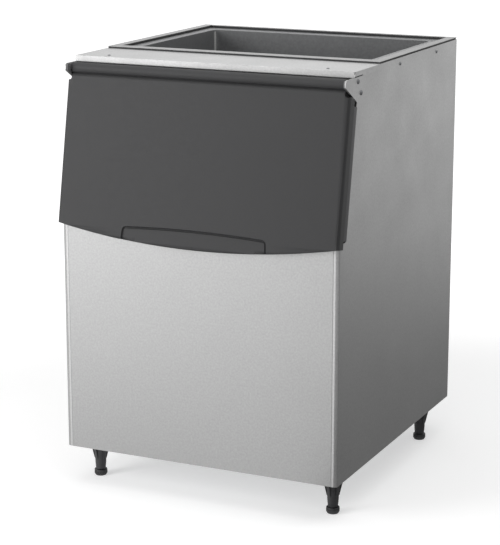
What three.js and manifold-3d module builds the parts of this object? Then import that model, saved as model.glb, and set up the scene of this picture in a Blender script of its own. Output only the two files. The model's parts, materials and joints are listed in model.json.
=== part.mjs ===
// Ice storage bin for a machine that stands on top of it: an insulated steel cabinet on four
// levelling legs, with a plastic door that swings up and forward on a roll along its top edge.
// Millimetres, +Z up, +X to the right of someone who faces the door, front towards -Y.
// The cabinet is drawn from its own corner: x from the middle, y back from the front panel and
// z up from the underside. The last lines move the whole bin over its bottom centre.

import * as THREE from 'three';
import { mergeVertices } from 'three/addons/utils/BufferGeometryUtils.js';
import Module from 'manifold-3d';

const wasm = await Module();
wasm.setup();

// Cabinet
const cabinetWidth = 762;
const cabinetDepth = 826;
const cabinetHeight = 1016;
const legHeight = 103;
const sheet = 1.2;
const seatGap = 0.3;
const overrun = 6;
const cornerRadius = 8;
const panelRim = 0.5;
const sideReturn = 20;
const sideFold = 12;
const sillCover = 1.9;

// Insulated walls, from the outer skin to the inside of the bin
const sideThickness = 56;
const rearThickness = 58;
const floorThickness = 60;

// Front panel
const frontSeam = 0.3;
const frontBevel = 7;
const frontBevelDepth = 1.6;
const frontFlange = 18;
const frontFold = 20;

// Top rail, seal ring and the frame that the ice machine stands on
const railFront = 84;
const railDepth = 166;
const railLip = 14;
const railNotch = 1.5;
const ledgeDrop = 2;
const ledgeFront = 29;
const ringFrontWidth = 33;
const ringSideWidth = 25;
const ringRearWidth = 14;
const sealHeight = 5.2;

// Liner
const linerWall = 3;
const floorRise = 6;
const ceilingDrop = 59;
const linerCorner = 18;
const sillSetBack = 1.8;
const sumpHalfWidth = 55;
const sumpLength = 78;
const sumpDepth = 30;

// Hinge line of the door
const hingeDepth = 58;
const hingeDrop = 27;
const doorTiltDegrees = 10.3;

// Door shell, measured down the door from the hinge line and back from its face
const doorOverlap = 4;
const doorWall = 3;
const doorEdgeRadius = 13;
const shoulderRadius = 6;
const doorFace = 8;
const shellDepth = 34;
const shoulderDrop = 27;
const cavityTopDrop = 38;
const cornerDrop = 393;
const smileDepth = 37;
const skirtDrop = 375;
const skirtThickness = 8;
const rollRadius = 13;
const neckSetBack = 4;
const neckDepth = 13;
const earClearance = 2.5;

// Grip recess along the bottom of the door
const gripHalfWidth = 197;
const gripDrop = 386.5;
const gripBow = 5.5;
const gripFlare = 9;
const gripFall = 99;
const gripDepth = 5;
const gripRadius = 11;

// Inner side of the door
const trayInset = 9;
const trayDepth = 17.7;
const trayTopDrop = 41;
const trayBottomDrop = 366;
const plugDepth = 12;
const plugMargin = 7;
const gasketWidth = 14;
const gasketInset = 4;
const gasketThickness = 5.7;

// Slanted frame that the door closes on
const frameThickness = 4;
const frameTopRise = 18;
const frameBottomDrop = 377;
const frameOpeningTop = 54;
const frameOpeningBottom = 344;

// Hinge
const pinRadius = 4;
const pinLength = 24;
const pinClearance = 0.1;
const bushingRadius = 7.7;
const bushingLength = 24;
const bushingFlangeRadius = 11;
const bushingFlange = 1.2;
const bracketThickness = 3.2;
const bracketInset = 1.5;
const bracketRear = 140;
const bossRadius = 9;
const bossHeight = 1.2;
const earReach = 29;
const earNoseDrop = 5;
const earSlopeDrop = 47.3;
const earTopRadius = 9;
const earNoseRadius = 5;
const earHem = 3;

// Ice baffle behind the door opening
const baffleSideGap = 25;
const baffleHook = 22;
const baffleFall = 90;
const baffleDrop = 130;
const baffleLean = 60;

// Legs and feet
const legInset = 46;
const legFront = 90;
const legRearInset = 101;
const legTopRadius = 22;
const legFlange = 3;
const legFlareRadius = 15.6;
const legFlareDrop = 33;
const legTubeRadius = 14.2;
const legTubeEndRadius = 12.4;
const legRib = 3;
const footRadius = 16.7;
const footHeight = 16.5;
const footChamfer = 4;
const footTopChamfer = 1;
const footStemRadius = 6;
const footStem = 40;
const stemClearance = 0.4;
const boltRadius = 5;
const boltDepth = 20;
const boltHeadRadius = 9.2;
const boltHead = 6.4;
const barWidth = 60;
const barThickness = 3;
const barMargin = 60;

// Drain
const drainBore = 8;
const drainRadius = 11;
const drainRise = 14;
const drainFlangeRadius = 13.5;
const drainFlange = 2;
const drainStub = 8;
const drainNutRadius = 17;
const drainNutHeight = 5;
const strainerMargin = 5;
const strainerThickness = 1.5;
const strainerSlots = 7;
const strainerSlotWidth = 5;

// Screws, and where they sit
const screwHeadRadius = 3.8;
const screwHeadHeight = 2.2;
const screwShankRadius = 1.75;
const screwLength = 9;
const screwClearance = 0.3;
const headTopShare = 0.6;
const headRimShare = 0.45;
const upperScrewBack = 48.4;
const upperScrewRise = 1.5;
const lowerScrewBack = 68.2;
const lowerScrewDrop = 27.7;
const rimScrewDrop = 16;
const rimScrewFront = 390;
const rimScrewRear = 164;
const railScrewInset = 81;
const railScrewSetBack = 29;
const rearScrewMargin = 60;

// Rounding
const roundSteps = 6;
const rodSides = 20;
const screwSides = 10;
const rollSides = 36;
const hexSides = 6;
const smileSteps = 28;

const tilt = THREE.MathUtils.degToRad(doorTiltDegrees);
const halfWidth = cabinetWidth / 2;
const sideInside = halfWidth - sheet;
const hingeHeight = cabinetHeight - hingeDrop;

// A point given across and up the tilted door, as depth and height in the cabinet
function fromDoor(back, up) {
  const depth = hingeDepth + back * Math.cos(tilt) + up * Math.sin(tilt);
  const height = hingeHeight - back * Math.sin(tilt) + up * Math.cos(tilt);
  return [depth, height];
}

// The same point the other way round
function toDoor(depth, height) {
  const back = (depth - hingeDepth) * Math.cos(tilt) - (height - hingeHeight) * Math.sin(tilt);
  const up = (depth - hingeDepth) * Math.sin(tilt) + (height - hingeHeight) * Math.cos(tilt);
  return [back, up];
}

// Depth at which a plane parallel to the door, this far behind the hinge line, meets a height
function slantDepth(back, height) {
  const up = (height - hingeHeight + back * Math.sin(tilt)) / Math.cos(tilt);
  return fromDoor(back, up)[0];
}

// Layers of the door and its frame, measured back from the hinge line, square to the door
const shellRear = shellDepth - doorFace;
const trayRear = shellRear + trayDepth + seatGap;
const gasketFront = trayRear + seatGap;
const framePlane = gasketFront + gasketThickness + seatGap;
const frameRear = framePlane + frameThickness;
const linerPlane = frameRear + seatGap;
const frameFoot = fromDoor(frameRear, -frameBottomDrop)[1];
const sillHeight = fromDoor(framePlane, -frameBottomDrop)[1] + sillCover;

// Heights and depths of the top layers
const railRear = railFront + railDepth;
const railUnder = cabinetHeight - sheet;
const panelTop = cabinetHeight - panelRim;
const ledgeTop = cabinetHeight - ledgeDrop;
const sealBottom = ledgeTop + seatGap;
const sealTop = sealBottom + sealHeight;
const ringBottom = sealTop + seatGap;
const ringTop = ringBottom + sheet;
const ringFront = railRear + seatGap;
const underRailFront = railFront + sheet + seatGap;
const earTop = cabinetHeight - railLip - seatGap;
const earSlopeEnd = hingeHeight - earSlopeDrop;

// Inside of the bin, and what surrounds it
const binHalfWidth = halfWidth - sideThickness;
const [openingSill, sillTop] = fromDoor(linerPlane, -frameOpeningBottom);
const [ceilingFront, ceilingLow] = fromDoor(linerPlane, -frameOpeningTop);
const binFront = openingSill + sillSetBack;
const openingFront = railRear + ringFrontWidth + ledgeFront;
const openingRear = cabinetDepth - rearThickness;
const ceilingRear = cabinetHeight - ceilingDrop;
const sumpFront = openingRear - sumpLength;
const sumpFloor = floorThickness - sumpDepth;
const drainHeight = sumpFloor + drainRise;
const linerOuter = binHalfWidth + linerWall;
const backPanelFront = cabinetDepth - sheet - seatGap - sheet;
const foamRear = backPanelFront - seatGap;
const panFloor = sheet + seatGap;
const foamBottom = panFloor + sheet + seatGap;
const foamTop = ledgeTop - linerWall - seatGap;

// Widths of the door's layers and of the hinge
const doorHalfWidth = halfWidth + doorOverlap;
const cavityReach = doorHalfWidth - doorWall;
const cavityBottom = skirtDrop - doorWall;
const trayHalfWidth = doorHalfWidth - trayInset;
const plugReach = binHalfWidth - plugMargin;
const plugTop = frameOpeningTop + plugMargin;
const plugBottom = frameOpeningBottom - plugMargin;
const bracketOuter = halfWidth - earHem - seatGap;
const bracketInner = bracketOuter - bracketThickness;
const bossInner = bracketInner - bossHeight;
const rollHalfLength = bossInner - seatGap - bushingFlange - seatGap;
const bracketFoot = earSlopeEnd + bracketInset;
const frontReach = halfWidth - cornerRadius - frontSeam;

// Turns a closed geometry into a solid that can be joined and cut.
function solidOf(geometry) {
  const bare = geometry.clone();
  bare.deleteAttribute('normal');
  bare.deleteAttribute('uv');
  const merged = mergeVertices(bare);
  return new wasm.Manifold(new wasm.Mesh({
    numProp: 3,
    vertProperties: new Float32Array(merged.attributes.position.array),
    triVerts: new Uint32Array(merged.index.array),
  }));
}

function geometryOf(solid) {
  const mesh = solid.getMesh();
  const geometry = new THREE.BufferGeometry();
  geometry.setAttribute('position', new THREE.BufferAttribute(new Float32Array(mesh.vertProperties), 3));
  geometry.setIndex(new THREE.BufferAttribute(new Uint32Array(mesh.triVerts), 1));
  geometry.computeVertexNormals();
  return geometry;
}

function join(first, ...others) {
  return others.reduce((whole, other) => whole.add(other), first);
}

function cut(first, ...others) {
  return others.reduce((whole, other) => whole.subtract(other), first);
}

// A closed outline; each corner may carry a radius as its third number.
function outline(corners) {
  const points = [];
  corners.forEach(([a, b, radius = 0], i) => {
    const here = new THREE.Vector2(a, b);
    if (radius === 0) {
      points.push(here);
      return;
    }
    const before = corners[(i + corners.length - 1) % corners.length];
    const after = corners[(i + 1) % corners.length];
    const toBefore = new THREE.Vector2(before[0], before[1]).sub(here).normalize();
    const toAfter = new THREE.Vector2(after[0], after[1]).sub(here).normalize();
    const half = Math.acos(THREE.MathUtils.clamp(toBefore.dot(toAfter), -1, 1)) / 2;
    const middle = toBefore.clone().add(toAfter).normalize();
    const centre = here.clone().addScaledVector(middle, radius / Math.sin(half));
    const start = here.clone().addScaledVector(toBefore, radius / Math.tan(half)).sub(centre);
    const sweep = Math.PI - 2 * half;
    const turn = Math.sign(toBefore.cross(toAfter)) || 1;
    for (let step = 0; step <= roundSteps; step += 1) {
      const angle = -turn * sweep * step / roundSteps;
      points.push(start.clone().rotateAround(new THREE.Vector2(0, 0), angle).add(centre));
    }
  });
  return new THREE.Shape(points);
}

function prism(shape, length, basis, start) {
  const geometry = new THREE.ExtrudeGeometry(shape, { depth: length, bevelEnabled: false, steps: 1 });
  geometry.applyMatrix4(basis.setPosition(start));
  return solidOf(geometry);
}

// Corners are depth and height, extruded to the right.
function prismX(corners, from, to) {
  const basis = new THREE.Matrix4().makeBasis(
    new THREE.Vector3(0, 1, 0), new THREE.Vector3(0, 0, 1), new THREE.Vector3(1, 0, 0));
  return prism(outline(corners), to - from, basis, new THREE.Vector3(from, 0, 0));
}

// Corners are width and height, extruded from front to back.
function prismY(corners, from, to) {
  const basis = new THREE.Matrix4().makeBasis(
    new THREE.Vector3(1, 0, 0), new THREE.Vector3(0, 0, 1), new THREE.Vector3(0, -1, 0));
  return prism(outline(corners), to - from, basis, new THREE.Vector3(0, to, 0));
}

// Corners are width and depth, extruded upwards.
function prismZ(corners, from, to) {
  return prism(outline(corners), to - from, new THREE.Matrix4(), new THREE.Vector3(0, 0, from));
}

function block(x0, x1, y0, y1, z0, z1) {
  const geometry = new THREE.BoxGeometry(x1 - x0, y1 - y0, z1 - z0);
  geometry.translate((x0 + x1) / 2, (y0 + y1) / 2, (z0 + z1) / 2);
  return solidOf(geometry);
}

// A block that reaches equally far left and right.
function wideBlock(reach, y0, y1, z0, z1) {
  return block(-reach, reach, y0, y1, z0, z1);
}

// A round bar along one axis, through the point at, from one place on that axis to another.
function rod(axis, radius, from, to, at, sides = rodSides) {
  const geometry = new THREE.CylinderGeometry(radius, radius, to - from, sides);
  geometry.translate(0, (from + to) / 2, 0);
  if (axis === 'x') geometry.rotateZ(-Math.PI / 2);
  if (axis === 'z') geometry.rotateX(Math.PI / 2);
  geometry.translate(...at);
  return solidOf(geometry);
}

// A turned piece: profile of radius and height, about a vertical axis through x and y.
function turned(profile, x, y) {
  const points = profile.map(([radius, height]) => new THREE.Vector2(radius, height));
  const geometry = new THREE.LatheGeometry(points, rodSides);
  geometry.rotateX(Math.PI / 2);
  geometry.translate(x, y, 0);
  return solidOf(geometry);
}

function mirrored(solid) {
  const geometry = geometryOf(solid);
  geometry.applyMatrix4(new THREE.Matrix4().makeScale(-1, 1, 1));
  const index = geometry.index.array;
  for (let i = 0; i < index.length; i += 3) {
    [index[i + 1], index[i + 2]] = [index[i + 2], index[i + 1]];
  }
  return solidOf(geometry);
}

function asSeenOn(side, rightHandSolid) {
  return side > 0 ? rightHandSolid : mirrored(rightHandSolid);
}

// Finishes
const finish = {
  stainless: { color: 0xc4c6c8, roughness: 0.34, metalness: 0.9 },
  galvanised: { color: 0xa9acae, roughness: 0.5, metalness: 0.8 },
  zinc: { color: 0x8e9194, roughness: 0.4, metalness: 0.9 },
  darkPlastic: { color: 0x4f5052, roughness: 0.55, metalness: 0 },
  blackPlastic: { color: 0x2c2c2d, roughness: 0.6, metalness: 0 },
  linerPlastic: { color: 0x9a9c9d, roughness: 0.5, metalness: 0 },
  rubber: { color: 0x1d1d1e, roughness: 0.85, metalness: 0 },
  foam: { color: 0xd9cfa8, roughness: 0.95, metalness: 0 },
  nylon: { color: 0xe4e2da, roughness: 0.5, metalness: 0 },
};

function named(name, solid, look) {
  const mesh = new THREE.Mesh(geometryOf(solid), new THREE.MeshStandardMaterial(look));
  mesh.name = name;
  return mesh;
}

// Screw places
const screwReach = screwLength + screwClearance;
const hingeScrews = [
  [hingeDepth + upperScrewBack, hingeHeight + upperScrewRise],
  [hingeDepth + lowerScrewBack, hingeHeight - lowerScrewDrop],
];
const rimScrews = [
  [rimScrewFront, cabinetHeight - rimScrewDrop],
  [cabinetDepth - rimScrewRear, cabinetHeight - rimScrewDrop],
];
const sideScrews = [...hingeScrews, ...rimScrews];
const railScrews = [
  [railScrewInset - halfWidth, railFront + railScrewSetBack],
  [halfWidth - railScrewInset, railFront + railScrewSetBack],
];

function rearScrewPlaces() {
  const reach = halfWidth - sideReturn / 2;
  const heights = [rearScrewMargin, panelTop - rearScrewMargin];
  return heights.flatMap((height) => [[-reach, height], [reach, height]]);
}

// Legs: a word for the row and for the side, and the place of each
function legPlaces() {
  const rows = [['front', legFront], ['rear', cabinetDepth - legRearInset]];
  const columns = [['left', legInset - halfWidth], ['right', halfWidth - legInset]];
  return rows.flatMap(([row, y]) => columns.map(([column, x]) => ({ name: `${row}_${column}`, x, y })));
}

// A pan head with its shank, drawn upwards from the sheet that it holds.
function screwAt(x, y, z, turn) {
  const head = new THREE.LatheGeometry([
    new THREE.Vector2(0, screwHeadHeight),
    new THREE.Vector2(screwHeadRadius * headTopShare, screwHeadHeight),
    new THREE.Vector2(screwHeadRadius, screwHeadHeight * headRimShare),
    new THREE.Vector2(screwHeadRadius, seatGap),
    new THREE.Vector2(screwShankRadius, seatGap),
    new THREE.Vector2(screwShankRadius, -screwLength),
    new THREE.Vector2(0, -screwLength),
  ].reverse(), screwSides);
  head.rotateX(Math.PI / 2);
  turn(head);
  head.translate(x, y, z);
  return solidOf(head);
}

function sideScrew(side, [depth, height]) {
  return screwAt(side * halfWidth, depth, height, (g) => g.rotateY(side * Math.PI / 2));
}

function railScrew([x, depth]) {
  return screwAt(x, depth, cabinetHeight, (g) => g);
}

function rearScrew([x, height]) {
  return screwAt(x, cabinetDepth, height, (g) => g.rotateX(-Math.PI / 2));
}

// Clearance holes for the screws
const holeRadius = screwShankRadius + screwClearance;

function sideScrewHoles(places) {
  const holes = places.map(([depth, height]) =>
    rod('x', holeRadius, halfWidth - screwReach, halfWidth + overrun, [0, depth, height], screwSides));
  return join(...holes);
}

function railScrewHoles() {
  const holes = railScrews.map(([x, depth]) =>
    rod('z', holeRadius, cabinetHeight - screwReach, cabinetHeight + overrun, [x, depth, 0], screwSides));
  return join(...holes);
}

function rearScrewHoles() {
  const holes = rearScrewPlaces().map(([x, height]) =>
    rod('y', holeRadius, cabinetDepth - screwReach, cabinetDepth + overrun, [x, 0, height], screwSides));
  return join(...holes);
}

// Ear of a side panel, and the smaller outline of the hinge bracket inside it
function earCorners(inset) {
  const nose = hingeDepth - earReach + inset;
  return [
    [nose, earTop - inset, earTopRadius - inset],
    [nose, hingeHeight - earNoseDrop + inset / 2, earNoseRadius],
    [slantDepth(framePlane, earSlopeEnd), earSlopeEnd + inset],
  ];
}

function sideOutline() {
  return [
    [cornerRadius, 0],
    [cabinetDepth, 0],
    [cabinetDepth, panelTop],
    [ringFront, panelTop],
    [ringFront, railUnder - seatGap],
    [underRailFront, railUnder - seatGap],
    [underRailFront, earTop],
    ...earCorners(0),
    [slantDepth(framePlane, sillHeight), sillHeight],
    [cornerRadius, sillHeight],
  ];
}

// The panel's rounded front corner, seen from above
function cornerSection() {
  const centre = [halfWidth - cornerRadius, cornerRadius];
  const points = [];
  for (let step = 0; step <= roundSteps; step += 1) {
    const angle = Math.PI / 2 * step / roundSteps;
    points.push([centre[0] + cornerRadius * Math.cos(angle), centre[1] - cornerRadius * Math.sin(angle)]);
  }
  const inner = cornerRadius - sheet;
  for (let step = roundSteps; step >= 0; step -= 1) {
    const angle = Math.PI / 2 * step / roundSteps;
    points.push([centre[0] + inner * Math.cos(angle), centre[1] - inner * Math.sin(angle)]);
  }
  points.push([sideInside, cornerRadius + overrun], [halfWidth, cornerRadius + overrun]);
  return points;
}

function sidePanel(side) {
  const plate = prismX(sideOutline(), sideInside, halfWidth);
  const corner = prismZ(cornerSection(), 0, sillHeight);
  const earOutline = [[slantDepth(framePlane, earTop), earTop], ...earCorners(0)];
  const hem = prismX(earOutline, halfWidth - earHem, halfWidth);
  const rearReturn = block(halfWidth - sideReturn, halfWidth, cabinetDepth - sheet, cabinetDepth,
    0, panelTop);
  const fold = block(halfWidth - sideFold, halfWidth - sheet / 2, frontFlange + seatGap,
    backPanelFront - seatGap, 0, sheet);
  const panel = join(plate, corner, hem, rearReturn, fold);
  return asSeenOn(side, cut(panel, sideScrewHoles(sideScrews), rearScrewHoles()));
}

function frontPanel() {
  const inner = frontReach - sheet;
  const flat = frontReach - frontBevel;
  const bevelInner = frontBevelDepth + sheet;
  const face = prismZ([
    [-frontReach, frontFlange],
    [-frontReach, frontBevelDepth],
    [-flat, 0],
    [flat, 0],
    [frontReach, frontBevelDepth],
    [frontReach, frontFlange],
    [inner, frontFlange],
    [inner, bevelInner],
    [flat, sheet],
    [-flat, sheet],
    [-inner, bevelInner],
    [-inner, frontFlange],
  ], 0, sillHeight);
  const sillRear = slantDepth(framePlane, sillHeight - sheet) - seatGap;
  const sill = wideBlock(inner, bevelInner, sillRear, sillHeight - sheet, sillHeight);
  const sillFront = wideBlock(flat, 0, bevelInner, sillHeight - sheet, sillHeight);
  const fold = wideBlock(halfWidth - sideFold - seatGap, bevelInner, frontFold, 0, sheet);
  const foldFront = wideBlock(flat, 0, bevelInner, 0, sheet);
  return join(face, sill, sillFront, fold, foldFront);
}

function backPanel() {
  const plate = wideBlock(sideInside - seatGap, backPanelFront, backPanelFront + sheet, 0, panelTop);
  const hole = rod('y', drainRadius + seatGap, backPanelFront - overrun, cabinetDepth, [0, 0, drainHeight]);
  return cut(plate, hole, rearScrewHoles());
}

function basePan() {
  const reach = sideInside - seatGap;
  const nose = frontReach - sheet - seatGap;
  const shoulder = frontFlange + seatGap;
  const front = sheet + seatGap;
  const corners = [
    [-nose, front + frontBevelDepth],
    [-nose + frontBevel, front],
    [nose - frontBevel, front],
    [nose, front + frontBevelDepth],
    [nose, shoulder],
    [reach, shoulder],
    [reach, foamRear],
    [-reach, foamRear],
    [-reach, shoulder],
    [-nose, shoulder],
  ];
  const plate = prismZ(corners, panFloor, panFloor + sheet);
  return cut(plate, ...boltHoles());
}

function boltHoles() {
  const top = foamBottom + barThickness + overrun;
  return legPlaces().map(({ x, y }) => rod('z', boltRadius + seatGap, -overrun, top, [x, y, 0]));
}

// Room that a base bar takes, grown by a clearance
function barRoom(clearance, bottom) {
  const middleX = halfWidth - legInset;
  const reach = barWidth / 2 + clearance;
  return block(middleX - reach, middleX + reach, barMargin - clearance, cabinetDepth - barMargin + clearance,
    bottom, foamBottom + barThickness + clearance);
}

function baseBar(side) {
  return asSeenOn(side, cut(barRoom(0, foamBottom), ...boltHoles()));
}

function topFrontRail() {
  const lipInside = halfWidth + seatGap;
  const reach = lipInside + sheet;
  const top = wideBlock(reach, railFront, railRear, railUnder, cabinetHeight);
  const lip = wideBlock(reach, railFront, railFront + sheet, cabinetHeight - railLip, cabinetHeight);
  const sideLip = block(lipInside, reach, railFront, railRear, cabinetHeight - railLip, cabinetHeight);
  const notch = rod('z', railNotch, railUnder - overrun, cabinetHeight + overrun, [reach, railFront, 0]);
  return cut(join(top, lip, sideLip, mirrored(sideLip)), notch, mirrored(notch), railScrewHoles());
}

// Flat ring round the top opening; its inner edge moves out by the inset
function openRing(reach, rear, inset, from, to) {
  const outer = wideBlock(reach, ringFront, rear, from, to);
  const inner = wideBlock(halfWidth - ringSideWidth + inset, railRear + ringFrontWidth - inset,
    cabinetDepth - ringRearWidth + inset, from - overrun, to + overrun);
  return cut(outer, inner);
}

function topSeal() {
  return openRing(sideInside - seatGap, foamRear, seatGap, sealBottom, sealTop);
}

function topFrame() {
  return openRing(halfWidth, cabinetDepth, 0, ringBottom, ringTop);
}

function floorAt(depth) {
  return floorThickness + floorRise * (openingRear - depth) / (openingRear - binFront);
}

// The liner's section from the side, grown by one wall for its outer skin. It runs out past the
// front, where the slanted frame's plane cuts it off.
function linerSection(wall, top) {
  const lean = (ceilingRear - ceilingLow) / (openingFront - ceilingFront);
  return [
    [binFront - wall, floorAt(binFront) - wall],
    [openingRear + wall, floorThickness - wall],
    [openingRear + wall, top],
    [openingFront - wall, top],
    [openingFront - wall, ceilingRear + wall],
    [ceilingFront - hingeDepth, ceilingLow + wall - lean * hingeDepth],
    [-hingeDepth, sillTop],
    [binFront - wall, sillTop],
  ];
}

// Upright block whose two rear corners are rounded like the liner's
function roundedRear(wall) {
  const reach = binHalfWidth + wall;
  const rear = openingRear + wall;
  const radius = linerCorner + wall;
  const corners = [
    [-reach, -cabinetDepth],
    [reach, -cabinetDepth],
    [reach, rear, radius],
    [-reach, rear, radius],
  ];
  return prismZ(corners, 0, cabinetHeight + overrun);
}

function linerOuterSkin() {
  return prismX(linerSection(linerWall, ledgeTop), -linerOuter, linerOuter).intersect(roundedRear(linerWall));
}

function linerSpace() {
  return prismX(linerSection(0, ledgeTop + overrun), -binHalfWidth, binHalfWidth).intersect(roundedRear(0));
}

// Everything in front of the plane that the slanted frame's back lies on.
function aheadOfSlant(back) {
  const low = slantDepth(back, -cabinetHeight);
  const high = slantDepth(back, 2 * cabinetHeight);
  const corners = [[low, -cabinetHeight], [high, 2 * cabinetHeight], [-cabinetDepth, 2 * cabinetHeight],
    [-cabinetDepth, -cabinetHeight]];
  return prismX(corners, -cabinetWidth, cabinetWidth);
}

function binLiner() {
  const flange = wideBlock(sideInside - seatGap, ringFront, foamRear, ledgeTop - linerWall, ledgeTop);
  const sumpOuter = wideBlock(sumpHalfWidth + linerWall, sumpFront - linerWall, openingRear + linerWall,
    sumpFloor - linerWall, floorThickness);
  const sumpInner = wideBlock(sumpHalfWidth, sumpFront, openingRear, sumpFloor, floorThickness + overrun);
  const drain = rod('y', drainRadius + seatGap, sumpFront + overrun, cabinetDepth, [0, 0, drainHeight]);
  const outside = join(linerOuterSkin(), flange, sumpOuter);
  return cut(outside, linerSpace(), sumpInner, aheadOfSlant(linerPlane), drain);
}

// Room for the hardware that is buried in the foam
function hardwareInFoam() {
  const headTop = foamBottom + barThickness + seatGap + boltHead + seatGap;
  const boltRooms = legPlaces().map(({ x, y }) => rod('z', boltHeadRadius + seatGap, 0, headTop, [x, y, 0]));
  const bar = barRoom(seatGap, 0);
  const bracket = block(bracketInner - seatGap, halfWidth, 0, bracketRear + seatGap, bracketFoot - seatGap,
    earTop);
  const holes = sideScrewHoles(sideScrews);
  const pipe = rod('y', drainRadius + seatGap, openingRear, cabinetDepth, [0, 0, drainHeight]);
  return join(bar, mirrored(bar), bracket, mirrored(bracket), holes, mirrored(holes), railScrewHoles(),
    rearScrewHoles(), pipe, ...boltRooms);
}

// Cuts foam off along the back of the slanted frame.
function behindFrame(solid) {
  const above = wideBlock(cabinetWidth, -cabinetDepth, cabinetDepth, frameFoot - seatGap, 2 * cabinetHeight);
  return cut(solid, aheadOfSlant(linerPlane).intersect(above));
}

function sideFoam(side) {
  const reach = frontReach - sheet - seatGap;
  const front = sheet + seatGap;
  const slab = block(linerOuter + seatGap, sideInside - seatGap, front, foamRear, foamBottom, foamTop);
  const frontCorner = block(reach, halfWidth, -overrun, frontFlange + seatGap, 0, cabinetHeight);
  const bevel = block(reach - frontBevel, halfWidth, -overrun, front + frontBevelDepth, 0, cabinetHeight);
  return asSeenOn(side, cut(behindFrame(slab), frontCorner, bevel, hardwareInFoam()));
}

function rearFoam() {
  const slab = wideBlock(linerOuter, openingRear + linerWall + seatGap, foamRear, foamBottom, foamTop);
  return cut(slab, hardwareInFoam());
}

function frontFoam() {
  const slab = wideBlock(linerOuter, sheet + seatGap, binFront - linerWall - seatGap, foamBottom, sillTop);
  return cut(behindFrame(slab), hardwareInFoam());
}

function floorFoam() {
  const front = binFront - linerWall;
  const rear = openingRear + linerWall;
  const drop = linerWall + seatGap;
  const section = [
    [front, foamBottom],
    [rear, foamBottom],
    [rear, floorAt(rear) - drop],
    [front, floorAt(front) - drop],
  ];
  const pocket = wideBlock(sumpHalfWidth + linerWall + seatGap, sumpFront - linerWall - seatGap, cabinetDepth,
    sumpFloor - linerWall - seatGap, cabinetHeight);
  return cut(prismX(section, -linerOuter, linerOuter), pocket, hardwareInFoam());
}

function headerFoam() {
  const rear = openingFront - linerWall - seatGap;
  const lift = linerWall + seatGap;
  const top = railUnder - seatGap;
  const section = [
    [ceilingFront, ceilingLow + lift],
    [rear, ceilingRear + lift],
    [rear, foamTop],
    [railRear, foamTop],
    [railRear, top],
    [slantDepth(linerPlane, top), top],
  ];
  return cut(behindFrame(prismX(section, -linerOuter, linerOuter)), hardwareInFoam());
}

// Slanted frame around the front opening, drawn flat in the door's own directions
function openingFrame() {
  const plate = wideBlock(sideInside - seatGap, framePlane, frameRear, -frameBottomDrop, frameTopRise);
  const hole = wideBlock(binHalfWidth, framePlane - overrun, frameRear + overrun, -frameOpeningBottom,
    -frameOpeningTop);
  const [, footUp] = toDoor(slantDepth(framePlane, bracketFoot), bracketFoot);
  const bracketRoom = block(bracketInner - seatGap, halfWidth, framePlane - overrun, frameRear + overrun,
    footUp - overrun, frameTopRise + overrun);
  return cut(plate, hole, bracketRoom, mirrored(bracketRoom));
}

// Hinge bracket: a plate inside the ear, a boss round the pin and a thicker rear end
function hingeBracket(side) {
  const top = earTop - bracketInset;
  const plate = prismX([[bracketRear, top], ...earCorners(bracketInset), [bracketRear, bracketFoot]],
    bracketInner, bracketOuter);
  const rearBlock = block(bracketInner, sideInside - seatGap, slantDepth(frameRear, earTop), bracketRear,
    bracketFoot, top);
  const axis = [0, hingeDepth, hingeHeight];
  const boss = rod('x', bossRadius, bossInner, bracketOuter, axis);
  const hole = rod('x', pinRadius + seatGap, bossInner - overrun, bracketOuter + overrun, axis);
  return asSeenOn(side, cut(join(plate, rearBlock, boss), hole, sideScrewHoles(hingeScrews)));
}

function hingePin(side) {
  const pin = rod('x', pinRadius, rollHalfLength - pinLength, bracketOuter - seatGap,
    [0, hingeDepth, hingeHeight]);
  return asSeenOn(side, pin);
}

// Door pieces, drawn in the door's own directions: y back, z up, the hinge line at zero

// Points along an arc from right to left that bows up or down in its middle
function bowPoints(reach, cornerHeight, depth, direction) {
  const radius = (reach * reach + depth * depth) / (2 * depth);
  const points = [];
  for (let step = 0; step <= smileSteps; step += 1) {
    const x = reach - 2 * reach * step / smileSteps;
    const bow = Math.sqrt(radius * radius - x * x) - (radius - depth);
    points.push([x, cornerHeight + direction * bow]);
  }
  return points;
}

function doorSection(reach, front, rear, radius) {
  return [[-reach, front, radius], [reach, front, radius], [reach, rear], [-reach, rear]];
}

// Room for the ears of the side panels: below their slope with the door shut, and past their
// noses as it swings
function earRoom() {
  const inner = bossInner - seatGap;
  const [noseBack, noseUp] = toDoor(hingeDepth - earReach, hingeHeight - earNoseDrop);
  const [slopeBack, slopeUp] = toDoor(slantDepth(framePlane, earSlopeEnd), earSlopeEnd);
  const slope = prismX([
    [noseBack - overrun, noseUp + rollRadius],
    [noseBack - overrun, noseUp - earClearance],
    [slopeBack, slopeUp - earClearance],
    [slopeBack, noseUp + rollRadius],
  ], inner, doorHalfWidth + overrun);
  const swing = rod('x', earReach + earClearance, inner, doorHalfWidth + overrun, [0, 0, 0], rollSides);
  const room = join(slope, swing);
  return join(room, mirrored(room));
}

function gripRecess() {
  const points = bowPoints(gripHalfWidth - gripRadius, -gripDrop, gripBow, 1);
  const low = -gripDrop - gripFall;
  const corners = [
    [gripHalfWidth + gripFlare, low],
    [gripHalfWidth, -gripDrop, gripRadius],
    ...points.slice(1, -1),
    [-gripHalfWidth, -gripDrop, gripRadius],
    [-gripHalfWidth - gripFlare, low],
  ];
  return prismY(corners, -doorFace - overrun, -doorFace + gripDepth);
}

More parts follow.
